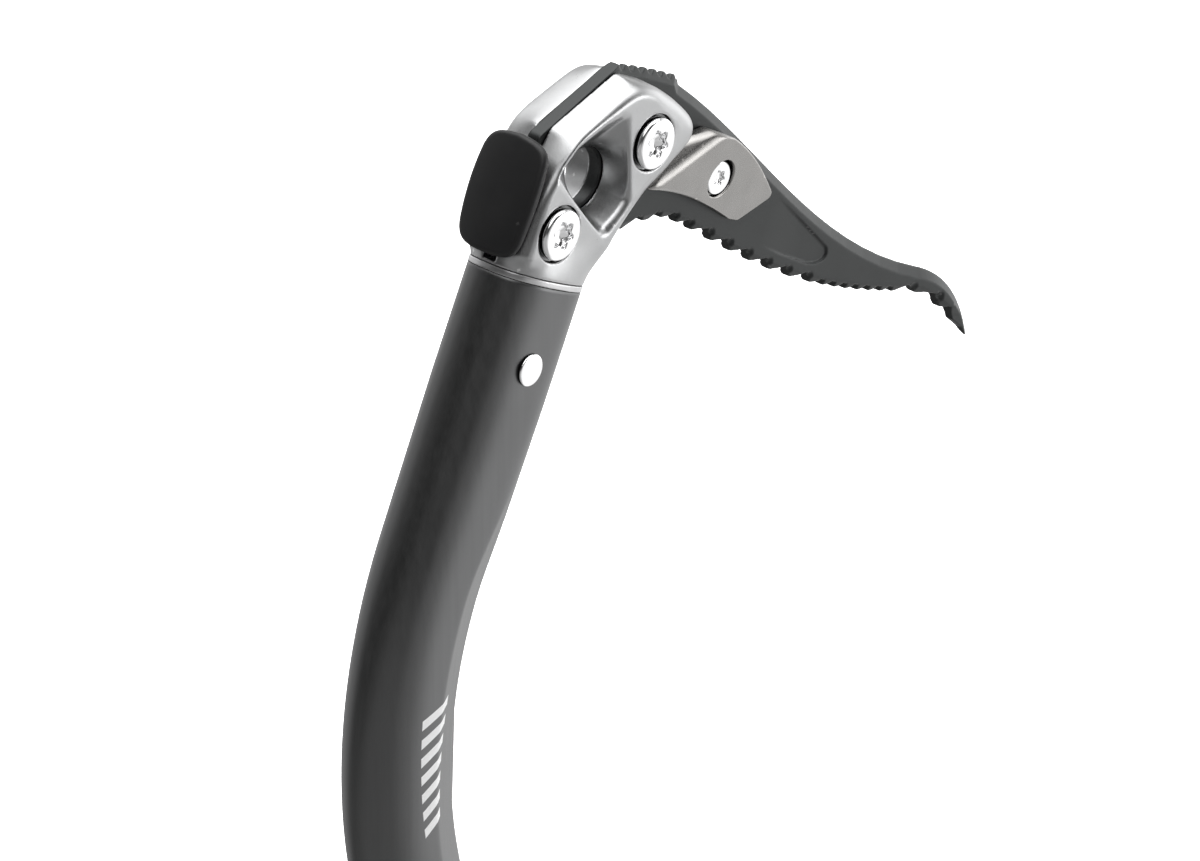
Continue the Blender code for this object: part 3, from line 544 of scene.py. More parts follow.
def printed_mark(look):
    """A plain printed grip-height scale: a column of slanted white bars that shorten downwards.

    The shaft's map gives millimetres around the tube in its first direction and along it in its second.
    """
    node = look.tree.nodes.new("ShaderNodeUVMap")
    node.uv_map = "print"
    split = look.tree.nodes.new("ShaderNodeSeparateXYZ")
    look.tree.links.new(node.outputs[0], split.inputs[0])
    around, along = split.outputs[0], split.outputs[1]
    slanted = look.math("ADD", along, look.math("MULTIPLY", around, 0.45))
    phase = look.math("FRACT", look.math("DIVIDE", slanted, 5.2))
    bar = look.spread(look.math("ABSOLUTE", look.math("SUBTRACT", phase, 0.5)), 0.24, 0.27, 1.0, 0.0)
    reach = look.spread(along, 0.0, 36.4, 5.4, 3.4)
    across = look.math("SUBTRACT", reach, look.math("ABSOLUTE", around))
    inside = look.spread(across, -0.08, 0.08, 0.0, 1.0)
    top = look.spread(slanted, 0.0, 0.05, 0.0, 1.0)
    end = look.spread(slanted, 36.35, 36.4, 1.0, 0.0)
    ink = look.math("MULTIPLY", look.math("MULTIPLY", bar, inside), look.math("MULTIPLY", top, end))
    worn = look.spread(look.noise(0.5, 4.0), 0.28, 0.36, 0.75, 1.0)
    ink = look.math("MULTIPLY", ink, worn)
    look.tint(ink, (0.86, 0.86, 0.86))
    metallic = look.math("SUBTRACT", 1.0, ink)
    look.tree.links.new(metallic, look.shader.inputs["Metallic"])
    look.roughness = look.math("ADD", look.roughness, look.math("MULTIPLY", ink, 0.15))


def pick_look():
    look = Look("pick_steel", (0.031, 0.033, 0.033), 0.40, 0.65)
    grain = look.noise(0.3, 3.0)
    slow = look.noise(12.0, 3.0)
    look.vary(slow, 0.88, 1.12)
    look.vary(grain, 0.94, 1.06)
    look.tint(look.math("MULTIPLY", look.edges(0.53, 0.62), 0.35), (0.20, 0.20, 0.20))
    look.roughen(slow, 0.05)
    look.roughen(grain, 0.05)
    look.relief(grain, 0.01)
    # painted shade: base colour darkened in gaps and deep corners
    look.painted_crevice_shade(1.5)
    return look.done()


def weight_look():
    look = Look("weight_steel", (0.275, 0.268, 0.260), 0.29, 1.0)
    grain = look.noise(0.3, 3.0)
    slow = look.noise(8.0, 3.0)
    look.vary(slow, 0.93, 1.06)
    look.vary(grain, 0.94, 1.05)
    look.tint(look.math("MULTIPLY", look.edges(0.52, 0.60), 0.5), (0.75, 0.72, 0.69))
    look.roughen(grain, 0.06)
    look.relief(grain, 0.012)
    # painted shade: base colour darkened in gaps and deep corners
    look.painted_crevice_shade(2.0)
    return look.done()


def hammer_look():
    look = Look("hammer_steel", (0.013, 0.013, 0.0135), 0.42, 0.0)
    look.shader.inputs["Specular IOR Level"].default_value = 0.28
    grain = look.noise(0.4, 2.0)
    look.vary(look.noise(8.0), 0.9, 1.15)
    look.tint(look.math("MULTIPLY", look.edges(0.52, 0.58), 0.5), (0.07, 0.07, 0.07))
    look.roughen(grain, 0.05)
    look.relief(grain, 0.006)
    return look.done()


def rubber_look():
    look = Look("grip_rubber", (0.018, 0.018, 0.019), 0.62)
    pores = look.cells(0.45)
    look.vary(look.noise(10.0), 0.85, 1.2)
    look.roughen(look.noise(1.2, 3.0), 0.08)
    look.tint(look.math("MULTIPLY", look.edges(0.51, 0.58), 0.3), (0.06, 0.06, 0.06))
    look.relief(pores, 0.03)
    return look.done()


def polymer_look(name="rest_polymer", colour=(0.020, 0.020, 0.022)):
    look = Look(name, colour, 0.48)
    spark = look.cells(0.35)
    look.vary(look.noise(7.0), 0.9, 1.12)
    look.roughen(look.noise(2.0, 3.0), 0.06)
    look.tint(look.math("MULTIPLY", look.edges(0.52, 0.60), 0.35), tuple(c + 0.06 for c in colour))
    look.relief(spark, 0.015)
    return look.done()


def lever_look():
    look = Look("lever_alloy", (0.10, 0.10, 0.105), 0.36, 0.85)
    grain = look.noise(0.3, 2.0)
    look.vary(look.noise(6.0), 0.92, 1.08)
    look.tint(look.math("MULTIPLY", look.edges(0.52, 0.60), 0.5), (0.45, 0.45, 0.46))
    look.roughen(grain, 0.05)
    look.relief(grain, 0.008)
    return look.done()


FORGED = forged_look()
COLLAR = collar_look()
POLISHED = polished_look()
ANODISED = shaft_look()
PICK_STEEL = pick_look()
WEIGHT_STEEL = weight_look()
HAMMER_STEEL = hammer_look()
RUBBER = rubber_look()
POLYMER = polymer_look()
BUTTON = polymer_look("button_polymer", (0.30, 0.31, 0.32))
LEVER = lever_look()


# ---------------------------------------------------------------- shaft

def shaft_point(distance):
    """The centre line in head-origin millimetres of the row frame, and its lean, at a distance along it."""
    if distance <= UPPER_LENGTH:
        return (-math.sin(HEAD_LEAN) * distance, -math.cos(HEAD_LEAN) * distance), -HEAD_LEAN
    start = (-math.sin(HEAD_LEAN) * UPPER_LENGTH, -math.cos(HEAD_LEAN) * UPPER_LENGTH)
    lean = min(-HEAD_LEAN + (distance - UPPER_LENGTH) / BOW_RADIUS, HANDLE_LEAN)
    x = start[0] + BOW_RADIUS * (math.cos(HEAD_LEAN) - math.cos(lean))
    z = start[1] - BOW_RADIUS * (math.sin(lean) + math.sin(HEAD_LEAN))
    past = max(0.0, distance - BOW_END)
    return (x + math.sin(lean) * past, z - math.cos(lean) * past), lean


BOW_END = UPPER_LENGTH + BOW_RADIUS * (HEAD_LEAN + HANDLE_LEAN)
BOW_MIDDLE = UPPER_LENGTH + 30.0


def shaft_section(distance):
    first, second = (TOP_OVAL, BOW_OVAL) if distance < BOW_MIDDLE else (BOW_OVAL, HANDLE_OVAL)
    if distance < BOW_MIDDLE:
        share = max(0.0, distance - 30.0) / (BOW_MIDDLE - 30.0)
    else:
        share = min(1.0, (distance - BOW_MIDDLE) / (BOW_END - BOW_MIDDLE))
    return tuple(a + (b - a) * share for a, b in zip(first, second))


def shaft_outline(distance, inset, count):
    """One ring across the tube: an oval with a soft flat pressed into each front quarter along the bow."""
    a, b, power = shaft_section(distance)
    angles = 2 * np.pi * np.arange(count) / count
    c, s = np.cos(angles), np.sin(angles)
    u = a * np.sign(c) * np.abs(c) ** (2 / power)
    v = b * np.sign(s) * np.abs(s) ** (2 / power)
    press = FLAT_DEPTH * float(ramp(distance, 46.0, 84.0) * (1 - ramp(distance, 190.0, 232.0)))
    if press > 0:
        normal = (math.cos(FLAT_ANGLE), math.sin(FLAT_ANGLE))
        beyond = u * normal[0] + np.abs(v) * normal[1]
        limit = beyond.max() - press
        over = beyond - limit
        push = np.where(over > 0, over - np.sqrt(over ** 2 + 0.02) + 0.14, 0)
        shift = np.maximum(0, over) - np.maximum(0, push)
        u = u - normal[0] * shift
        v = v - np.sign(v) * normal[1] * shift
    size = np.hypot(u, v)
    return u * (1 - inset / size), v * (1 - inset / size)


FLAT_DEPTH = 1.3
FLAT_ANGLE = math.radians(66.0)
SHAFT_COUNT = 144


def build_shaft():
    total = BOW_END - TUBE_END
    distances = np.concatenate([[SEAM / 2, SEAM / 2 + 0.1], np.linspace(1.0, total - 0.8, 320), [total - 0.35, total]])
    insets = np.zeros(len(distances))
    insets[0], insets[-1] = 0.1, 0.35
    rings = []
    for distance, inset in zip(distances, insets):
        rings.append((distance, inset))
    for distance in (total, total - 30, BOW_END, BOW_MIDDLE, UPPER_LENGTH, 30.0, SEAM / 2):
        rings.append((distance, WALL))
    points = []
    for distance, inset in rings:
        (x, z), lean = shaft_point(distance)
        u, v = shaft_outline(distance, inset, SHAFT_COUNT)
        points.append(np.stack([x + u * math.cos(lean), v, z + u * math.sin(lean)], axis=1))
    points = np.concatenate(points) * MM
    count = len(rings)
    faces = []
    for ring in range(count):
        here = ring * SHAFT_COUNT + np.arange(SHAFT_COUNT)
        below = ((ring + 1) % count) * SHAFT_COUNT + np.arange(SHAFT_COUNT)
        faces.append(np.stack([here, below, np.roll(below, -1), np.roll(here, -1)], axis=1))
    mesh = make_mesh("shaft", points, np.concatenate(faces))
    upright = Axes(HEAD.matrix.translation, Vector((1, 0, 0)), Vector((0, 0, 1)))
    add_print_map(mesh, len(distances), rings)
    piece("shaft", mesh, upright, "axe", ANODISED, "shaft_anodised", "shaft_tube")


def add_print_map(mesh, outer_rings, rings):
    """Millimetres around and along the tube, measured from the top of the printed scale."""
    u, v = shaft_outline(PRINT_START, 0.0, SHAFT_COUNT)
    steps = np.hypot(np.diff(u, append=u[0]), np.diff(v, append=v[0]))
    around = np.concatenate([[0], np.cumsum(steps)[:-1]])
    middle = np.argmin(np.hypot(u - u.max() * PRINT_SIDE[0], v + v.max() * PRINT_SIDE[1]))
    around = around - around[middle]
    layer = mesh.uv_layers.new(name="print")
    vertex = np.zeros(len(mesh.loops), np.int32)
    mesh.loops.foreach_get("vertex_index", vertex)
    ring = vertex // SHAFT_COUNT
    along = np.array([distance for distance, _ in rings])[ring] - PRINT_START
    along[ring >= outer_rings] = -100.0
    coordinates = np.stack([around[vertex % SHAFT_COUNT], along], axis=1)
    layer.data.foreach_set("uv", coordinates.astype(np.float32).ravel())


PRINT_START = 110.0
PRINT_SIDE = (0.05, 1.0)


# ---------------------------------------------------------------- head

def head_outline():
    points = [(17.0, -3.0), (17.0, 5.0), (17.3, 9.5), (18.9, 14.5), (25.6, 26.6), (32.9, 37.4)]
    points += arc((35.6, 45.0), 3.9, -50.0, 70.0, 8)
    points += [(25.0, 52.9), (15.5, 55.0)]
    points += arc((7.0, 54.1), 1.2, 90.0, 133.0, 4)
    points += arc((-10.0, 37.4), 2.2, 133.0, 165.0, 6)
    points += [(-15.4, 27.0), (-16.9, 18.0), (-16.9, -3.0)]
    return points


FACET_START = (-11.5, 39.0)
FACET_RUN = (0.731, 0.682)
FACET_CROWN = 0.010
POCKET_MOUTH = [(-13.6, 27.2), (8.2, 16.6), (10.4, 16.0), (12.4, 17.0), (15.8, 22.6), (16.9, 25.4),
                (15.9, 28.4), (6.4, 46.2), (4.0, 46.4), (-1.0, 43.6), (-9.6, 36.6), (-13.0, 31.0)]
POCKET_FLOOR = 2.25


def pocket_field(x, t, z, step):
    """A funnel whose section turns from the round eye at the slot into a kite at the cheek."""
    eye = disc(x, z, EYE_CENTRE, EYE_R)
    mouth = soften(outline(POCKET_MOUTH, x, z), 0.5 / step, (0, 2))
    share = np.clip((t - POCKET_FLOOR) / (CHEEK_HALF - POCKET_FLOOR), -0.2, 1.25)
    slope = 1.0 + np.clip(mouth - eye, -12, 0) ** 2 / (CHEEK_HALF - POCKET_FLOOR) ** 2
    return (eye + (mouth - eye) * share) / np.sqrt(slope)


def build_head():
    grid = Grid((-19.5, -13.0, -36.0), (42.0, 13.0, 58.5), 0.37)
    x, y, z = grid.x, grid.y, grid.z
    t = np.abs(y)
    crisp = soften(outline(head_outline(), x, z), 0.6 / grid.step, (0, 2))
    smooth = soften(crisp, 3.2 / grid.step, (0, 2))
    profile = crisp + (smooth - crisp) * ramp(t, 3.0, 9.0)
    above_facet = (z - FACET_START[1]) * FACET_RUN[0] - (x - FACET_START[0]) * FACET_RUN[1]
    profile = profile + FACET_CROWN * t ** 2 * ramp(above_facet, -10.0, -1.0)
    back_corner = ramp(-x, 2.0, 10.0) * ramp(-z, -24.0, -12.0)
    edge = 1.1 + 1.5 * ramp(x, -10.0, 8.0) + 2.4 * ramp(x, 8.0, 24.0)
    edge = edge + 1.4 * ramp(-z, -36.0, -28.0) + 1.2 * back_corner
    block = both(profile, t - CHEEK_HALF, edge)
    neck = oval(x, y, TOP_OVAL)
    flare = 12.0 - 7.0 * ramp(-x, -2.0, 9.0)
    head = neck + (block - neck) * ramp(z, 1.6, 1.6 + flare)
    head = both(head, COLLAR_TOP + SEAM / 2 - z, 0.1)
    stub = both(oval(x, y, TOP_OVAL, -WALL - GAP), np.maximum(z - 6.0, -STUB_LENGTH - z), 0.5)
    head = either(head, stub, 0.1)
    slot_area = outline([(-25.0, 2.5), (-10.0, 2.7), (0.0, 5.0), (24.0, 10.5), (60.0, 10.5), (60.0, 70.0),
                         (-25.0, 70.0)], x, z)
    lower_front = ramp(x, 8.0, 13.0) * ramp(-z, -30.0, -24.0)
    head = cut(head, pocket_field(x, t, z, grid.step), 0.7 + 1.1 * lower_front)
    head = cut(head, both(slot_area, t - SLOT_HALF, 0.2), 0.12)
    for centre in (UPPER_BOLT, LOWER_BOLT):
        head = cut(head, both(disc(x, z, centre, BOLT_HEAD_R + 0.8), BOLT_SEAT - t, 0.2), 0.25)
        head = cut(head, disc(x, z, centre, BOLT_BORE_R), 0.3)
    head = cut(head, disc(x, z, RIVET_CENTRE, 3.3), 0.2)
    carve("forged_head", grid, head, HEAD, "axe", FORGED, "forged_alloy", "head_body")


def build_collar():
    grid = Grid((-18.0, -13.0, -0.8), (18.0, 13.0, 2.6), 0.23)
    x, y, z = grid.x, grid.y, grid.z
    height = np.abs(z - COLLAR_TOP / 2) - (COLLAR_TOP - SEAM) / 2
    ring = both(oval(x, y, TOP_OVAL, 0.05), height, 0.08)
    ring = cut(ring, oval(x, y, TOP_OVAL, -WALL), 0.2)
    carve("collar", grid, ring, HEAD, "axe", COLLAR, "collar_alloy", "head_collar")


def lobes(x, z, centre, radius):
    """A six-lobed drive recess."""
    angle = np.arctan2(z - centre[1], x - centre[0])
    return (np.hypot(x - centre[0], z - centre[1]) - radius * (0.85 + 0.15 * np.cos(6 * angle))) * 0.85


def fastener_head(name, axes, body, centre, side, radius, seat, top, drive, nodes, chamfer=0.6, depth=2.2):
    """A round flat head with a chamfered rim, and a drive recess with sloped walls and a floor cone."""
    low, high = sorted((side * (seat - 0.6), side * (top + 0.6)))
    grid = Grid((centre[0] - radius - 0.8, low, centre[1] - radius - 0.8),
                (centre[0] + radius + 0.8, high, centre[1] + radius + 0.8), 0.2 if radius > 5 else 0.15)
    x, z, t = grid.x, grid.z, grid.y * side
    rim = disc(x, z, centre, radius)
    head = both(rim, np.maximum(t - top, seat - t), 0.15)
    head = both(head, (rim + t - top + chamfer) * 0.707, 0.2)
    if drive:
        walls = lobes(x, z, centre, drive) + np.clip(top - t, 0, depth) * 0.16
        floor = top - depth - t + 0.35 * np.maximum(0, np.hypot(x - centre[0], z - centre[1]) - 1.0)
        head = cut(head, both(walls, floor, 0.2), 0.22)
    carve(name, grid, head, axes, body, POLISHED, "fastener_steel", *nodes)


def build_fasteners():
    for label, centre in (("upper", UPPER_BOLT), ("lower", LOWER_BOLT)):
        fastener_head(f"bolt_{label}", HEAD, "axe", centre, -1, BOLT_HEAD_R, BOLT_SEAT + GAP, BOLT_TOP, 3.9,
                      [f"pick_bolt_{label}"])
        fastener_head(f"nut_{label}", HEAD, "axe", centre, 1, BOLT_HEAD_R, BOLT_SEAT + GAP, BOLT_TOP, 3.9,
                      [f"pick_nut_{label}"], depth=1.2)


def domed_rivet(name, axes, centre, half_width, proud, radius, nodes):
    """Both low domed heads of a through rivet, with its shank."""
    end = half_width + proud
    grid = Grid((centre[0] - radius - 0.7, -end - 0.7, centre[1] - radius - 0.7),
                (centre[0] + radius + 0.7, end + 0.7, centre[1] + radius + 0.7), 0.2)
    x, z, t = grid.x, grid.z, np.abs(grid.y)
    rim = disc(x, z, centre, radius)
    spread = ((x - centre[0]) ** 2 + (z - centre[1]) ** 2) / radius ** 2
    head = both(rim, np.maximum(t - end + 0.25 * spread, half_width - t), 0.35)
    rivet = either(head, both(disc(x, z, centre, 2.5), t - half_width - 0.2, 0.1), 0.1)
    carve(name, grid, rivet, axes, "axe", POLISHED, "fastener_steel", *nodes)


# ---------------------------------------------------------------- pick

def lower_edge(x):
    """The height of the line through the tips of the pick's lower teeth."""
    if x < LOW_EDGE[0][0]:
        return LOW_EDGE[0][1] - 0.066 * (LOW_EDGE[0][0] - x) ** 1.5
    curve = LOW_EDGE if x < LOW_EDGE[3][0] else LOW_NOSE
    low, high = 0.0, 1.0
    for _ in range(30):
        t = (low + high) / 2
        u = 1 - t
        w = (u ** 3, 3 * u * u * t, 3 * u * t * t, t ** 3)
        if sum(k * p[0] for k, p in zip(w, curve)) < x:
            low = t
        else:
            high = t
    return sum(k * p[1] for k, p in zip(w, curve))


def lower_teeth():
    """The toothed lower edge from nose to head, and the centre and pitch of each tooth's side scallops."""
    points = []
    scallops = []
    for start, pitch, depth, count in TOOTH_GROUPS:
        for i in range(count):
            x = start - pitch * i
            edge = lower_edge(x)
            points += [(x + pitch * 0.29, edge + 0.3 * depth), (x + pitch * 0.03, edge), (x - pitch * 0.06, edge)]
            gullet = x - pitch * 0.39
            floor = lower_edge(gullet) + depth
            points += [(gullet + pitch * 0.02, floor - 0.05 * depth), (gullet - pitch * 0.03, floor)]
            scallops.append((gullet + pitch * 0.17, floor - depth * 0.45, pitch))
    return points, scallops


def crown_teeth():
    points = []
    for i in range(7):
        x = 6.6 + 4.05 * i
        high = 57.6 - 0.035 * (i - 3) ** 2
        rise = [(x, high - 1.25), (x + 0.8, high - 0.05)] if i else [(x + 1.4, high - 0.1)]
        points += rise + [(x + 2.3, high), (x + 3.3, high - 1.25)]
    return points


def top_line():
    """The pick's crest without its crown teeth, from the head to the tip."""
    return [(5.2, 54.7), (8.0, 57.6), (20.0, 57.9), (33.5, 57.3), (36.0, 54.9)] + bezier(*TOP_EDGE) + bezier(*TOP_NOSE)


def build_pick():
    grid = Grid((-18.0, -2.8, 2.0), (190.5, 2.8, 60.0), 0.31)
    x, y, z = grid.x, grid.y, grid.z
    t = np.abs(y)
    teeth, scallops = lower_teeth()
    points = crown_teeth() + [(35.0, 56.2), TOP_EDGE[0]] + bezier(*TOP_EDGE) + bezier(*TOP_NOSE)
    points += [(184.0, 6.6), (179.0, 8.2), (176.4, 10.9)] + teeth
    points += [(31.2, 16.1), (28.4, 16.2), (28.1, 14.8), (26.4, 13.2), (20.0, 11.6), (8.0, 9.3)]
    points += arc(LOWER_BOLT, 8.2, -62.0, -178.0, 10) + arc((-12.5, 35.0), 2.2, 190.0, 132.0, 6) + [(5.2, 54.7)]
    shape = outline(points, x, z)
    half = np.full(shape.shape, PICK_HALF)
    crest = path_distance(top_line(), x, z)
    band = 2.6 - 0.6 * ramp(x, 150.0, 185.0)
    slope = 0.5 + (PICK_HALF - 0.5) * np.clip(crest / band, 0, 1.5)
    half = np.minimum(half, half + (slope - half) * ramp(x, 6.0, 11.0))
    for sx, sz, pitch in scallops:
        scoop = np.hypot(x - sx, z - sz) / (0.14 * pitch + 0.2)
        half = np.minimum(half, 1.0 + (PICK_HALF - 1.0) * np.clip(scoop, 0, 1.2) ** 1.5)
    along = np.linspace(20.0, 176.0, 157)
    above = z - np.interp(x, along, [lower_edge(v) for v in along])
    half = np.minimum(half, 1.25 + (PICK_HALF - 1.25) * np.clip(above / 1.8, 0, 1.2))
    rim = bezier((88.0, 32.0), (98.0, 28.4), (108.0, 24.4), (115.6, 21.3), 12)
    rim += bezier(rim[-1], (118.8, 19.8), (117.2, 16.2), (110.4, 16.0), 12)
    panel = outline([(84.0, 32.0), (88.0, 32.0)] + rim + [(98.0, 17.2), (84.0, 19.4)], x, z)
    half = half - 0.55 * ramp(-panel, -0.2, 0.25) * ramp(x, 88.0, 106.0)
    pick = both(shape, t - half, 0.2)
    for centre, radius in ((UPPER_BOLT, BOLT_BORE_R), (LOWER_BOLT, BOLT_BORE_R), (EYE_CENTRE, PICK_EYE_R),
                           (WEIGHT_SCREW, 2.7)):
        pick = cut(pick, disc(x, z, centre, radius), 0.25)
    lap = outline(arc(LOWER_BOLT, 9.0, 90.0, -90.0, 10) + [(-30.0, LOWER_BOLT[1] - 9.0), (-30.0, LOWER_BOLT[1] + 9.0)],
                  x, z)
    pick = cut(pick, both(lap, -GAP / 2 - y, 0.1), 0.15)
    carve("pick_blade", grid, pick, HEAD, "axe", PICK_STEEL, "pick_steel", "pick")


# ---------------------------------------------------------------- hammer and weights

def hammer_outline():
    """The hammer face from behind, as Y and Z points."""
    low, high, half = 4.2, 35.4, 10.7
    right = bezier((0.0, low), (half * 0.62, low), (half * 0.9, low + 0.6), (half * 0.95, low + 6.5), 10)
    right += bezier(right[-1], (half, low + 12.0), (half * 1.03, low + 19.0), (half * 0.95, high - 5.5), 10)
    right += bezier(right[-1], (half * 0.86, high - 1.0), (half * 0.6, high - 0.6), (0.0, high), 10)
    return right + [(-y, z) for y, z in reversed(right[:-1])] + [(0.0, low)]


def build_hammer():
    grid = Grid((-23.5, -12.3, 2.2), (4.8, 12.3, 37.5), 0.33)
    x, y, z = grid.x, grid.y, grid.z
    face = outline(hammer_outline(), y, z)
    crown = 0.9 * ((y / 11.0) ** 2 + ((z - 19.8) / 16.0) ** 2) ** 1.3
    pad = both(face, -21.8 + crown - x, 1.1)
    pad = both(pad, x + 18.3, 0.6)
    middle = LOWER_BOLT[1]
    tang = outline([(-19.3, middle - 8.6), (-15.4, middle - 8.6), (-15.4, middle + 8.6), (-19.3, middle + 13.0)], x, z)
    neck = both(tang, np.abs(y) - PICK_HALF, 0.3)
    lap = outline(arc(LOWER_BOLT, 8.4, 90.0, -90.0, 12) + [(-16.0, middle - 8.4), (-16.0, middle + 8.4)], x, z)
    tongue = both(lap, np.abs(y - 0.95) - 0.8, 0.15)
    hammer = either(either(pad, neck, 0.6), tongue, 0.1)
    hammer = cut(hammer, disc(x, z, LOWER_BOLT, BOLT_BORE_R), 0.2)
    carve("hammer_pad", grid, hammer, HEAD, "axe", HAMMER_STEEL, "hammer_steel", "hammer")


def weight_outline():
    points = [(28.0, 28.2)] + bezier((28.0, 28.2), (42.0, 29.4), (56.0, 27.6), (70.5, 23.9), 14)
    points += arc((74.0, 25.4), 1.6, -110.0, -50.0, 4)
    points += arc((83.6, 31.8), 1.4, -50.0, 60.0, 6)
    points += bezier(points[-1], (77.0, 37.6), (69.0, 42.2), (57.0, 45.2), 10)
    points += arc((49.0, 43.0), 2.9, 75.0, 110.0, 4)
    points += [(42.4, 43.3), (38.2, 41.2), (34.0, 37.6)]
    return points


RIDGE_START = (31.2, 30.0)
RIDGE_END = (49.1, 43.7)


def build_weight(name, side, node):
    """One cheek weight: a bright rounded ridge beside the head, and a long face sloping down to the pick."""
    low, high = sorted((side * 1.6, side * 9.2))
    grid = Grid((26.0, low, 22.0), (87.0, high, 48.5), 0.3)
    x, z, t = grid.x, grid.z, grid.y * side
    run = np.array(RIDGE_END) - np.array(RIDGE_START)
    run = run / np.hypot(*run)
    past = (x - RIDGE_START[0]) * run[1] - (z - RIDGE_START[1]) * run[0]
    main = 8.15 - 0.158 * past
    behind = 8.4 + 0.75 * past
    top = both(t - main, t - behind, 1.7)
    shape = soften(outline(weight_outline(), x, z), 0.5 / grid.step, (0, 2))
    edge = 0.45 + 0.9 * ramp(-x, -58.0, -48.0)
    plate = both(both(shape, top, edge), PICK_HALF + GAP - t, 0.15)
    plate = cut(plate, both(disc(x, z, WEIGHT_SCREW, 5.1), 3.7 - t, 0.3), 0.3)
    plate = cut(plate, disc(x, z, WEIGHT_SCREW, 2.7), 0.2)
    carve(name, grid, plate, HEAD, "axe", WEIGHT_STEEL, "weight_steel", node)


def build_weights():
    build_weight("weight_left", -1, "pick_weight_left")
    build_weight("weight_right", 1, "pick_weight_right")
    fastener_head("weight_screw", HEAD, "axe", WEIGHT_SCREW, -1, 4.5, 4.0, 5.4, 2.1, ["pick_weight_screw"], 0.3, 0.9)
    fastener_head("weight_nut", HEAD, "axe", WEIGHT_SCREW, 1, 4.5, 4.0, 5.4, 2.1, ["pick_weight_nut"], 0.3, 0.7)


# ---------------------------------------------------------------- handle

def build_grip():
    """A moulded rubber sleeve with rounded ends, a finger swell and rows of shallow chevron grooves."""
    count = 160
    heights = np.concatenate([[GRIP_TOP, GRIP_TOP - 0.5], np.linspace(GRIP_TOP - 1.2, GRIP_LOW + 1.2, 330),
                              [GRIP_LOW + 0.5, GRIP_LOW]])
    angles = 2 * np.pi * np.arange(count) / count
    c, s = np.cos(angles), np.sin(angles)
    a, b, power = HANDLE_OVAL
    base = np.stack([a * np.sign(c) * np.abs(c) ** (2 / power), b * np.sign(s) * np.abs(s) ** (2 / power)])
    outward = base / np.hypot(*base)
    rings = []
    for height in heights:
        depth = GRIP_TOP - height
        grow = 0.9 + 1.0 * float(ramp(depth, 0.0, 3.5)) + 0.45 * float(ramp(depth, 45.0, 85.0))
        grow -= 0.7 * float(ramp(depth, 114.0, 119.0))
        end = min(depth, height - GRIP_LOW)
        grow -= 0.5 * (1 - min(1.0, end / 0.6)) ** 2
        pattern = float(ramp(end, 6.0, 8.0))
        wave = (height + 3.2 * np.abs(s) ** 1.0 * np.sign(c)) / 5.6
        groove = np.clip(1 - np.abs(wave - np.round(wave)) * 5.6 / 0.75, 0, 1)
        side = ramp(np.abs(s), 0.08, 0.2) * (1 - ramp(np.abs(s), 0.985, 1.0))
        rings.append(base + outward * (grow - 0.45 * pattern * groove * side))
    rings += [base * 1.0 + outward * GAP] * 2
    heights = np.concatenate([heights, [GRIP_LOW, GRIP_TOP]])
    points = np.concatenate([np.stack([r[0], r[1], np.full(count, h)], axis=1) for r, h in zip(rings, heights)])
    faces = []
    for ring in range(len(rings)):
        here = ring * count + np.arange(count)
        below = ((ring + 1) % len(rings)) * count + np.arange(count)
        faces.append(np.stack([here, below, np.roll(below, -1), np.roll(here, -1)], axis=1))
    mesh = make_mesh("grip", points * MM, np.concatenate(faces))
    piece("grip", mesh, HANDLE, "axe", RUBBER, "grip_rubber", "grip_sleeve")


def build_spike():
    grid = Grid((-17.0, -12.5, -290.0), (17.0, 12.5, -236.0), 0.4)
    x, y, z = grid.x, grid.y, grid.z
    cap = both(oval(x, y, HANDLE_OVAL, -0.2), np.maximum(z - TUBE_END + GAP, FERRULE_LOW - z), 0.4)
    cap = both(cap, oval(x, y, HANDLE_OVAL, -0.3) - 0.55 * (z - FERRULE_LOW - 3.0), 1.5)
    plug = both(oval(x, y, HANDLE_OVAL, -WALL - GAP), np.maximum(z + 238.0, TUBE_END - 4.0 - z), 0.5)
    ferrule = either(cap, plug, 0.1)
    ferrule = cut(ferrule, both(np.abs(x) - 9.3, np.maximum(np.abs(y) - 2.3, z - SPIKE_RIVET_Z - 9.0), 0.3), 0.35)
    ferrule = cut(ferrule, disc(x, z, (0.0, SPIKE_RIVET_Z), 2.8), 0.2)
    carve("ferrule", grid, ferrule, HANDLE, "axe", FORGED, "forged_alloy", "spike_ferrule")
    grid = Grid((-11.0, -3.0, -313.0), (11.0, 3.0, -246.0), 0.3)
    x, y, z = grid.x, grid.y, grid.z
    low, tip = FERRULE_LOW - 2.0, (0.0, -HANDLE_LENGTH)
    points = [(-9.0, -248.0), (-9.0, low)]
    points += bezier((-9.0, low), (-9.5, SPIKE_EYE_Z - 8.0), (-3.0, tip[1] + 8.0), tip)
    points += bezier(tip, (4.5, tip[1] + 8.0), (9.5, SPIKE_EYE_Z - 8.0), (9.0, low)) + [(9.0, -248.0)]
    shape = outline(points, x, z)
    half = np.minimum(2.0, 0.6 + 0.42 * np.maximum(0, -shape) + 3.0 * ramp(z, -296.0, -288.0))
    spike = both(shape, np.abs(y) - half, 0.3)
    spike = cut(spike, disc(x, z, (0.0, SPIKE_EYE_Z), 5.5), 0.5)
    spike = cut(spike, disc(x, z, (0.0, SPIKE_RIVET_Z), 2.8), 0.2)
    carve("spike_blade", grid, spike, HANDLE, "axe", WEIGHT_STEEL, "fastener_steel", "spike")


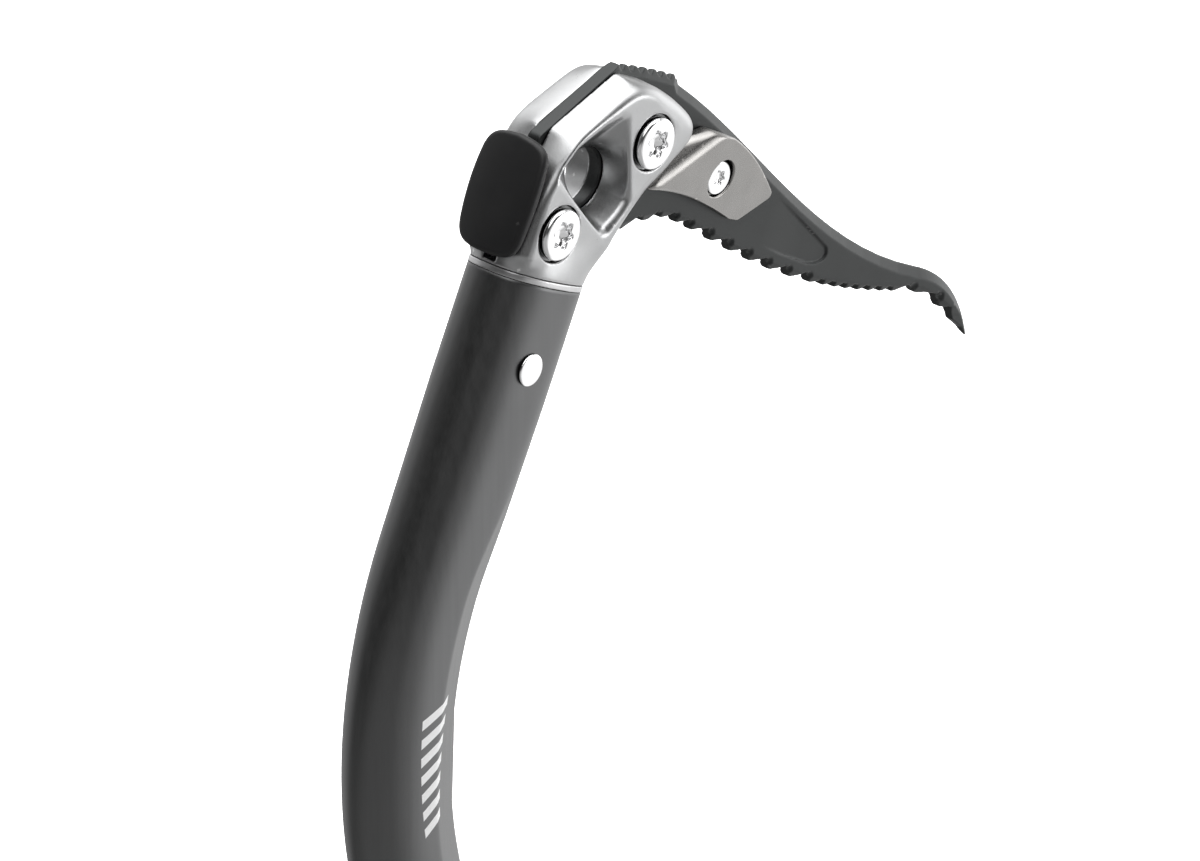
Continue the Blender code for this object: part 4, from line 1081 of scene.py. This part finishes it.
def build_finger_rest():
    """A clamp ring with a hooked finger rest in front and two ears for its lever behind."""
    grid = Grid((-30.0, -17.0, -101.5), (44.0, 17.0, -73.0), 0.4)
    x, y, z = grid.x, grid.y, grid.z
    t = np.abs(y)
    middle = FINGER_Z
    height = np.abs(z - middle) - 11.0
    ring = both(oval(x, y, HANDLE_OVAL, 4.5), height, 1.8)
    hook = [(14.0, middle - 8.6), (17.6, middle - 8.0), (26.0, middle - 6.5)]
    hook += bezier(hook[-1], (34.0, middle - 4.0), (39.5, middle + 1.5), (41.5, middle + 8.5), 12)
    hook += arc((39.6, middle + 9.2), 2.0, 0.0, 150.0, 6)
    hook += bezier(hook[-1], (35.0, middle + 5.5), (30.0, middle + 1.8), (23.0, middle + 1.8), 12)
    hook += [(17.6, middle + 4.0), (14.0, middle + 6.0)]
    bar = both(outline(hook, x, z), t - 6.5, 1.8)
    body = either(ring, bar, 2.2)
    px, pz = LEVER_PIN
    ear = outline([(-14.0, pz - 5.0), (-14.0, pz + 4.0)] + arc((px, pz), 3.4, 90.0, 270.0, 12), x, z)
    body = either(body, both(ear, np.abs(t - 7.3) - 1.3, 0.6), 1.0)
    body = cut(body, oval(x, y, HANDLE_OVAL, 1.5), 0.4)
    body = cut(body, both(disc(x, z, LEVER_PIN, 1.8), -1.0 - x * 0, 0.1), 0.3)
    groove = both(np.abs(np.abs(z - middle) - 5.0) - 0.55, oval(x, y, HANDLE_OVAL, 3.9) * -1.0, 0.1)
    front = np.where(x < 12.0, groove, 5.0)
    body = cut(body, front, 0.35)
    carve("finger_clamp", grid, body, HANDLE, "finger_rest", POLYMER, "rest_polymer", "finger_rest_body")
    grid = Grid((-18.0, -14.0, -100.0), (18.0, 14.0, -76.0), 0.45)
    x, y, z = grid.x, grid.y, grid.z
    liner = both(oval(x, y, HANDLE_OVAL, 1.2), np.abs(z - middle) - 10.5, 0.3)
    liner = cut(liner, oval(x, y, HANDLE_OVAL, GAP), 0.2)
    carve("finger_liner", grid, liner, HANDLE, "finger_rest", RUBBER, "grip_rubber", "finger_rest_liner")
    round_pin("finger_pin", LEVER_PIN, 1.5, 8.9, "finger_rest", "finger_rest_pin")
    build_lever()


def round_pin(name, centre, radius, half_width, body, node):
    """A hinge pin with rounded ends."""
    grid = Grid((centre[0] - radius - 0.6, -half_width - 0.6, centre[1] - radius - 0.6),
                (centre[0] + radius + 0.6, half_width + 0.6, centre[1] + radius + 0.6), 0.2)
    pin = both(disc(grid.x, grid.z, centre, radius), np.abs(grid.y) - half_width, 0.4)
    carve(name, grid, pin, HANDLE, body, POLISHED, "fastener_steel", node)


def build_lever():
    px, pz = LEVER_PIN
    z0 = FINGER_Z
    grid = Grid((px - 5.5, -6.6, z0 - 23.5), (px + 5.0, 6.6, pz + 4.4), 0.3)
    x, y, z = grid.x, grid.y, grid.z
    shape = arc((px, pz), 3.2, 0.0, 180.0, 12)
    shape += bezier((px - 3.2, pz), (px - 3.2, z0 - 5.0), (px - 2.2, z0 - 14.0), (px - 3.8, z0 - 21.0))
    shape += [(px - 1.8, z0 - 21.8)]
    shape += bezier(shape[-1], (px + 0.6, z0 - 14.0), (px + 1.2, z0 - 6.0), (px + 1.6, z0 - 1.0))
    half = 5.6 - 1.2 * ramp(-z, -z0 + 14.0, -z0 + 24.0)
    lever = both(soften(outline(shape, x, z), 1.0, (0, 2)), np.abs(y) - half, 0.9)
    ribs = np.abs(np.mod(z, 2.4) - 1.2) - 0.45
    ribs = np.where((z < z0 - 8.0) & (z > z0 - 20.0) & (x < px - 0.6), ribs, 2.0)
    back = outline(shape, x, z) + 0.35
    lever = cut(lever, both(ribs, -back, 0.05), 0.2)
    lever = cut(lever, disc(x, z, LEVER_PIN, 1.8), 0.25)
    carve("lever", grid, lever, HANDLE, "finger_lever", LEVER, "lever_alloy", "finger_rest_lever")


def build_grip_rest():
    """The folding rest below the hand: bracket ring, pin, arm with its rubber pad, and release button."""
    z0, px = REST_Z, REST_PIN_X
    grid = Grid((-20.0, -15.0, z0 - 8.4), (32.0, 15.0, z0 + 8.4), 0.38)
    x, y, z = grid.x, grid.y, grid.z
    t = np.abs(y)
    ring = both(oval(x, y, HANDLE_OVAL, 2.9), np.maximum(z - z0 - 7.2, z0 - 7.0 - z), 1.2)
    ear = outline([(13.0, z0 - 5.0)] + arc((px, z0), 4.6, -90.0, 90.0, 14) + [(13.0, z0 + 5.0)], x, z)
    bracket = either(ring, both(ear, np.abs(t - 6.6) - 1.6, 0.5), 1.2)
    bracket = cut(bracket, oval(x, y, HANDLE_OVAL, GAP), 0.3)
    bracket = cut(bracket, disc(x, z, (px, z0), 2.2), 0.25)
    bracket = cut(bracket, both(disc(x, z, (0.0, z0), 3.3), y + 11.9, 0.1), 0.35)
    carve("rest_bracket", grid, bracket, HANDLE, "axe", LEVER, "lever_alloy", "grip_rest_bracket")
    round_pin("rest_pin", (px, z0), 1.9, 8.5, "axe", "grip_rest_pin")
    grid = Grid((px - 5.5, -9.4, z0 - 5.5), (px + 39.0, 9.4, z0 + 7.5), 0.36)
    x, y, z = grid.x, grid.y, grid.z
    t = np.abs(y)
    arm = arc((px, z0), 4.1, 90.0, 270.0, 14) + [(px + 20.0, z0 - 4.1)]
    arm += bezier(arm[-1], (px + 29.0, z0 - 4.0), (px + 35.0, z0 - 1.0), (px + 37.5, z0 + 4.2))
    arm += [(px + 35.6, z0 + 5.4)]
    arm += bezier(arm[-1], (px + 33.0, z0 + 2.6), (px + 29.0, z0 + 1.2), (px + 22.0, z0 + 1.0))
    arm += [(px + 6.0, z0 + 1.0), (px + 4.5, z0 + 4.1)]
    rest = both(soften(outline(arm, x, z), 0.8, (0, 2)), t - 8.2, 1.3)
    rest = cut(rest, both(x - px - 5.4, 4.7 - t, 0.2), 0.4)
    rest = cut(rest, disc(x, z, (px, z0), 2.2), 0.25)
    window = both(np.abs(x - px - 17.0) - 7.0, np.maximum(t - 5.0, z - z0 + 2.6), 0.8)
    rest = cut(rest, window, 0.5)
    carve("rest_arm", grid, rest, HANDLE, "folding_rest", POLYMER, "rest_polymer", "grip_rest")
    grid = Grid((px + 6.0, -8.6, z0 + 0.3), (px + 32.5, 8.6, z0 + 5.4), 0.3)
    x, y, z = grid.x, grid.y, grid.z
    pad = [(px + 7.0, z0 + 1.3), (px + 22.0, z0 + 1.3)]
    pad += bezier(pad[-1], (px + 26.0, z0 + 1.4), (px + 29.0, z0 + 2.0), (px + 31.4, z0 + 3.2))
    pad += [(px + 28.0, z0 + 4.3), (px + 22.0, z0 + 3.4), (px + 8.0, z0 + 3.4)]
    cushion = both(soften(outline(pad, x, z), 0.8, (0, 2)), np.abs(y) - 7.6, 0.7)
    grooves = both(np.abs(np.mod(x - px, 3.2) - 1.6) - 0.4, z0 + 2.7 - z + 0.0 * x, 0.1)
    grooves = np.where((x > px + 8.5) & (x < px + 25.0), grooves, 3.0)
    cushion = cut(cushion, both(grooves, np.abs(y) - 6.2, 0.2), 0.25)
    carve("rest_pad", grid, cushion, HANDLE, "folding_rest", RUBBER, "grip_rubber", "grip_rest_pad")
    grid = Grid((-4.2, -16.5, z0 - 4.2), (4.2, -9.0, z0 + 4.2), 0.18)
    x, y, z = grid.x, grid.y, grid.z
    spread = (x ** 2 + (z - z0) ** 2) / 9.0
    button = both(disc(x, z, (0.0, z0), 3.0), np.maximum(-15.5 - y, y + 13.4), 0.5)
    dish = -15.15 - 0.35 * spread - y
    button = cut(button, -both(-dish, -disc(x, z, (0.0, z0), 2.3), 0.1) * -1.0, 0.2)
    carve("release", grid, button, HANDLE, "release_button", BUTTON, "button_polymer", "grip_rest_button")


# ---------------------------------------------------------------- studio

AZIMUTH = math.radians(-48.4)
ELEVATION = math.radians(28.25)
CAMERA_DISTANCE = 8.0
LENS = 960.0
LOOK_RIGHT = 18.875
LOOK_UP = -38.65


def direction(azimuth, elevation):
    """Towards a place seen from the axe: azimuth 0 is -Y and 90 is +X."""
    a, e = math.radians(azimuth), math.radians(elevation)
    return Vector((math.sin(a) * math.cos(e), -math.cos(a) * math.cos(e), math.sin(e)))


def build_camera():
    back = direction(math.degrees(AZIMUTH), math.degrees(ELEVATION))
    right = Vector((math.cos(AZIMUTH), math.sin(AZIMUTH), 0.0))
    up = back.cross(right)
    target = HEAD.matrix.translation + (right * LOOK_RIGHT + up * LOOK_UP) * MM
    data = bpy.data.cameras.new("camera")
    data.lens = LENS
    data.clip_start = 0.05
    camera = bpy.data.objects.new("camera", data)
    camera.matrix_world = Matrix((right, up, back)).transposed().to_4x4()
    camera.matrix_world.translation = target + back * CAMERA_DISTANCE
    bpy.context.scene.collection.objects.link(camera)
    bpy.context.scene.camera = camera


def floor_look():
    """Pale and softly lit from within, so that it stays plain under the dark sides of the studio."""
    look = Look("floor", (0.8, 0.8, 0.8), 0.8)
    look.vary(look.noise(400.0), 0.99, 1.01)
    look.shader.inputs["Emission Color"].default_value = (1, 1, 1, 1)
    look.shader.inputs["Emission Strength"].default_value = FLOOR_GLOW
    return look.done()


FLOOR_GLOW = 1.0
DARK_WALLS = 0.07
SOFTBOXES = (
    ("top", 128.0, 75.0, 10.0, 45.0, 3.6),
    ("back", 155.0, 14.0, 16.0, 22.0, 0.65),
    ("high_front", -40.0, 56.0, 12.0, 14.0, 1.6),
    ("upper_right", 56.0, 45.0, 10.0, 12.0, 1.9),
    ("right_floor", 80.0, -25.0, 32.0, 35.0, 1.1),
    ("far_right", 84.0, -6.0, 8.0, 14.0, 1.2),
    ("front_right", 42.0, -7.0, 6.0, 9.0, 3.8),
    ("front_floor", -62.0, -48.0, 40.0, 28.0, 0.36),
    ("left_back", 180.0, -5.0, 22.0, 24.0, 0.66),
    ("left", -145.0, 16.0, 6.0, 14.0, 0.35),
    ("front", 6.0, -12.0, 6.0, 22.0, 0.5),
)


def build_world():
    """Dark studio walls with soft-edged lights: each has a direction, a radius, a soft border and a strength."""
    world = bpy.data.worlds.new("studio")
    bpy.context.scene.world = world
    world.use_nodes = True
    tree = world.node_tree
    place = tree.nodes.new("ShaderNodeTexCoord").outputs["Generated"]
    total = None
    for _, azimuth, elevation, radius, border, strength in SOFTBOXES:
        dot = tree.nodes.new("ShaderNodeVectorMath")
        dot.operation = "DOT_PRODUCT"
        tree.links.new(place, dot.inputs[0])
        dot.inputs[1].default_value = direction(azimuth, elevation)
        step = tree.nodes.new("ShaderNodeMapRange")
        step.interpolation_type = "SMOOTHERSTEP"
        tree.links.new(dot.outputs["Value"], step.inputs["Value"])
        step.inputs["From Min"].default_value = math.cos(math.radians(radius + border))
        step.inputs["From Max"].default_value = math.cos(math.radians(radius))
        step.inputs["To Max"].default_value = strength
        if total is None:
            total = step.outputs["Result"]
        else:
            add = tree.nodes.new("ShaderNodeMath")
            tree.links.new(total, add.inputs[0])
            tree.links.new(step.outputs["Result"], add.inputs[1])
            total = add.outputs[0]
    add = tree.nodes.new("ShaderNodeMath")
    tree.links.new(total, add.inputs[0])
    add.inputs[1].default_value = DARK_WALLS
    camera_ray = tree.nodes.new("ShaderNodeLightPath").outputs["Is Camera Ray"]
    seen = tree.nodes.new("ShaderNodeMix")
    tree.links.new(camera_ray, seen.inputs[0])
    tree.links.new(add.outputs[0], seen.inputs[2])
    seen.inputs[3].default_value = 1.0
    tree.links.new(seen.outputs[0], tree.nodes["Background"].inputs["Strength"])
    tree.nodes["Background"].inputs["Color"].default_value = (1, 1, 1, 1)


def build_studio():
    low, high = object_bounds()
    bpy.ops.mesh.primitive_plane_add(size=12.0, location=(0.0, 0.0, low[2]))
    floor = bpy.context.object
    floor.name = "floor"
    floor.data.materials.append(floor_look())
    for ray in ("diffuse", "glossy", "shadow"):
        setattr(floor, f"visible_{ray}", False)
    build_world()
    bpy.context.scene.view_settings.view_transform = "Standard"


build_shaft()
build_head()
build_collar()
build_fasteners()
domed_rivet("shaft_rivet", HEAD, RIVET_CENTRE, 11.95, 0.8, 4.3, ["head_rivet"])
build_pick()
build_hammer()
build_weights()
build_grip()
build_spike()
domed_rivet("spike_pin", HANDLE, (0.0, SPIKE_RIVET_Z), 11.15, 0.8, 3.6, ["spike_rivet"])
build_finger_rest()
build_grip_rest()
build_camera()
build_studio()
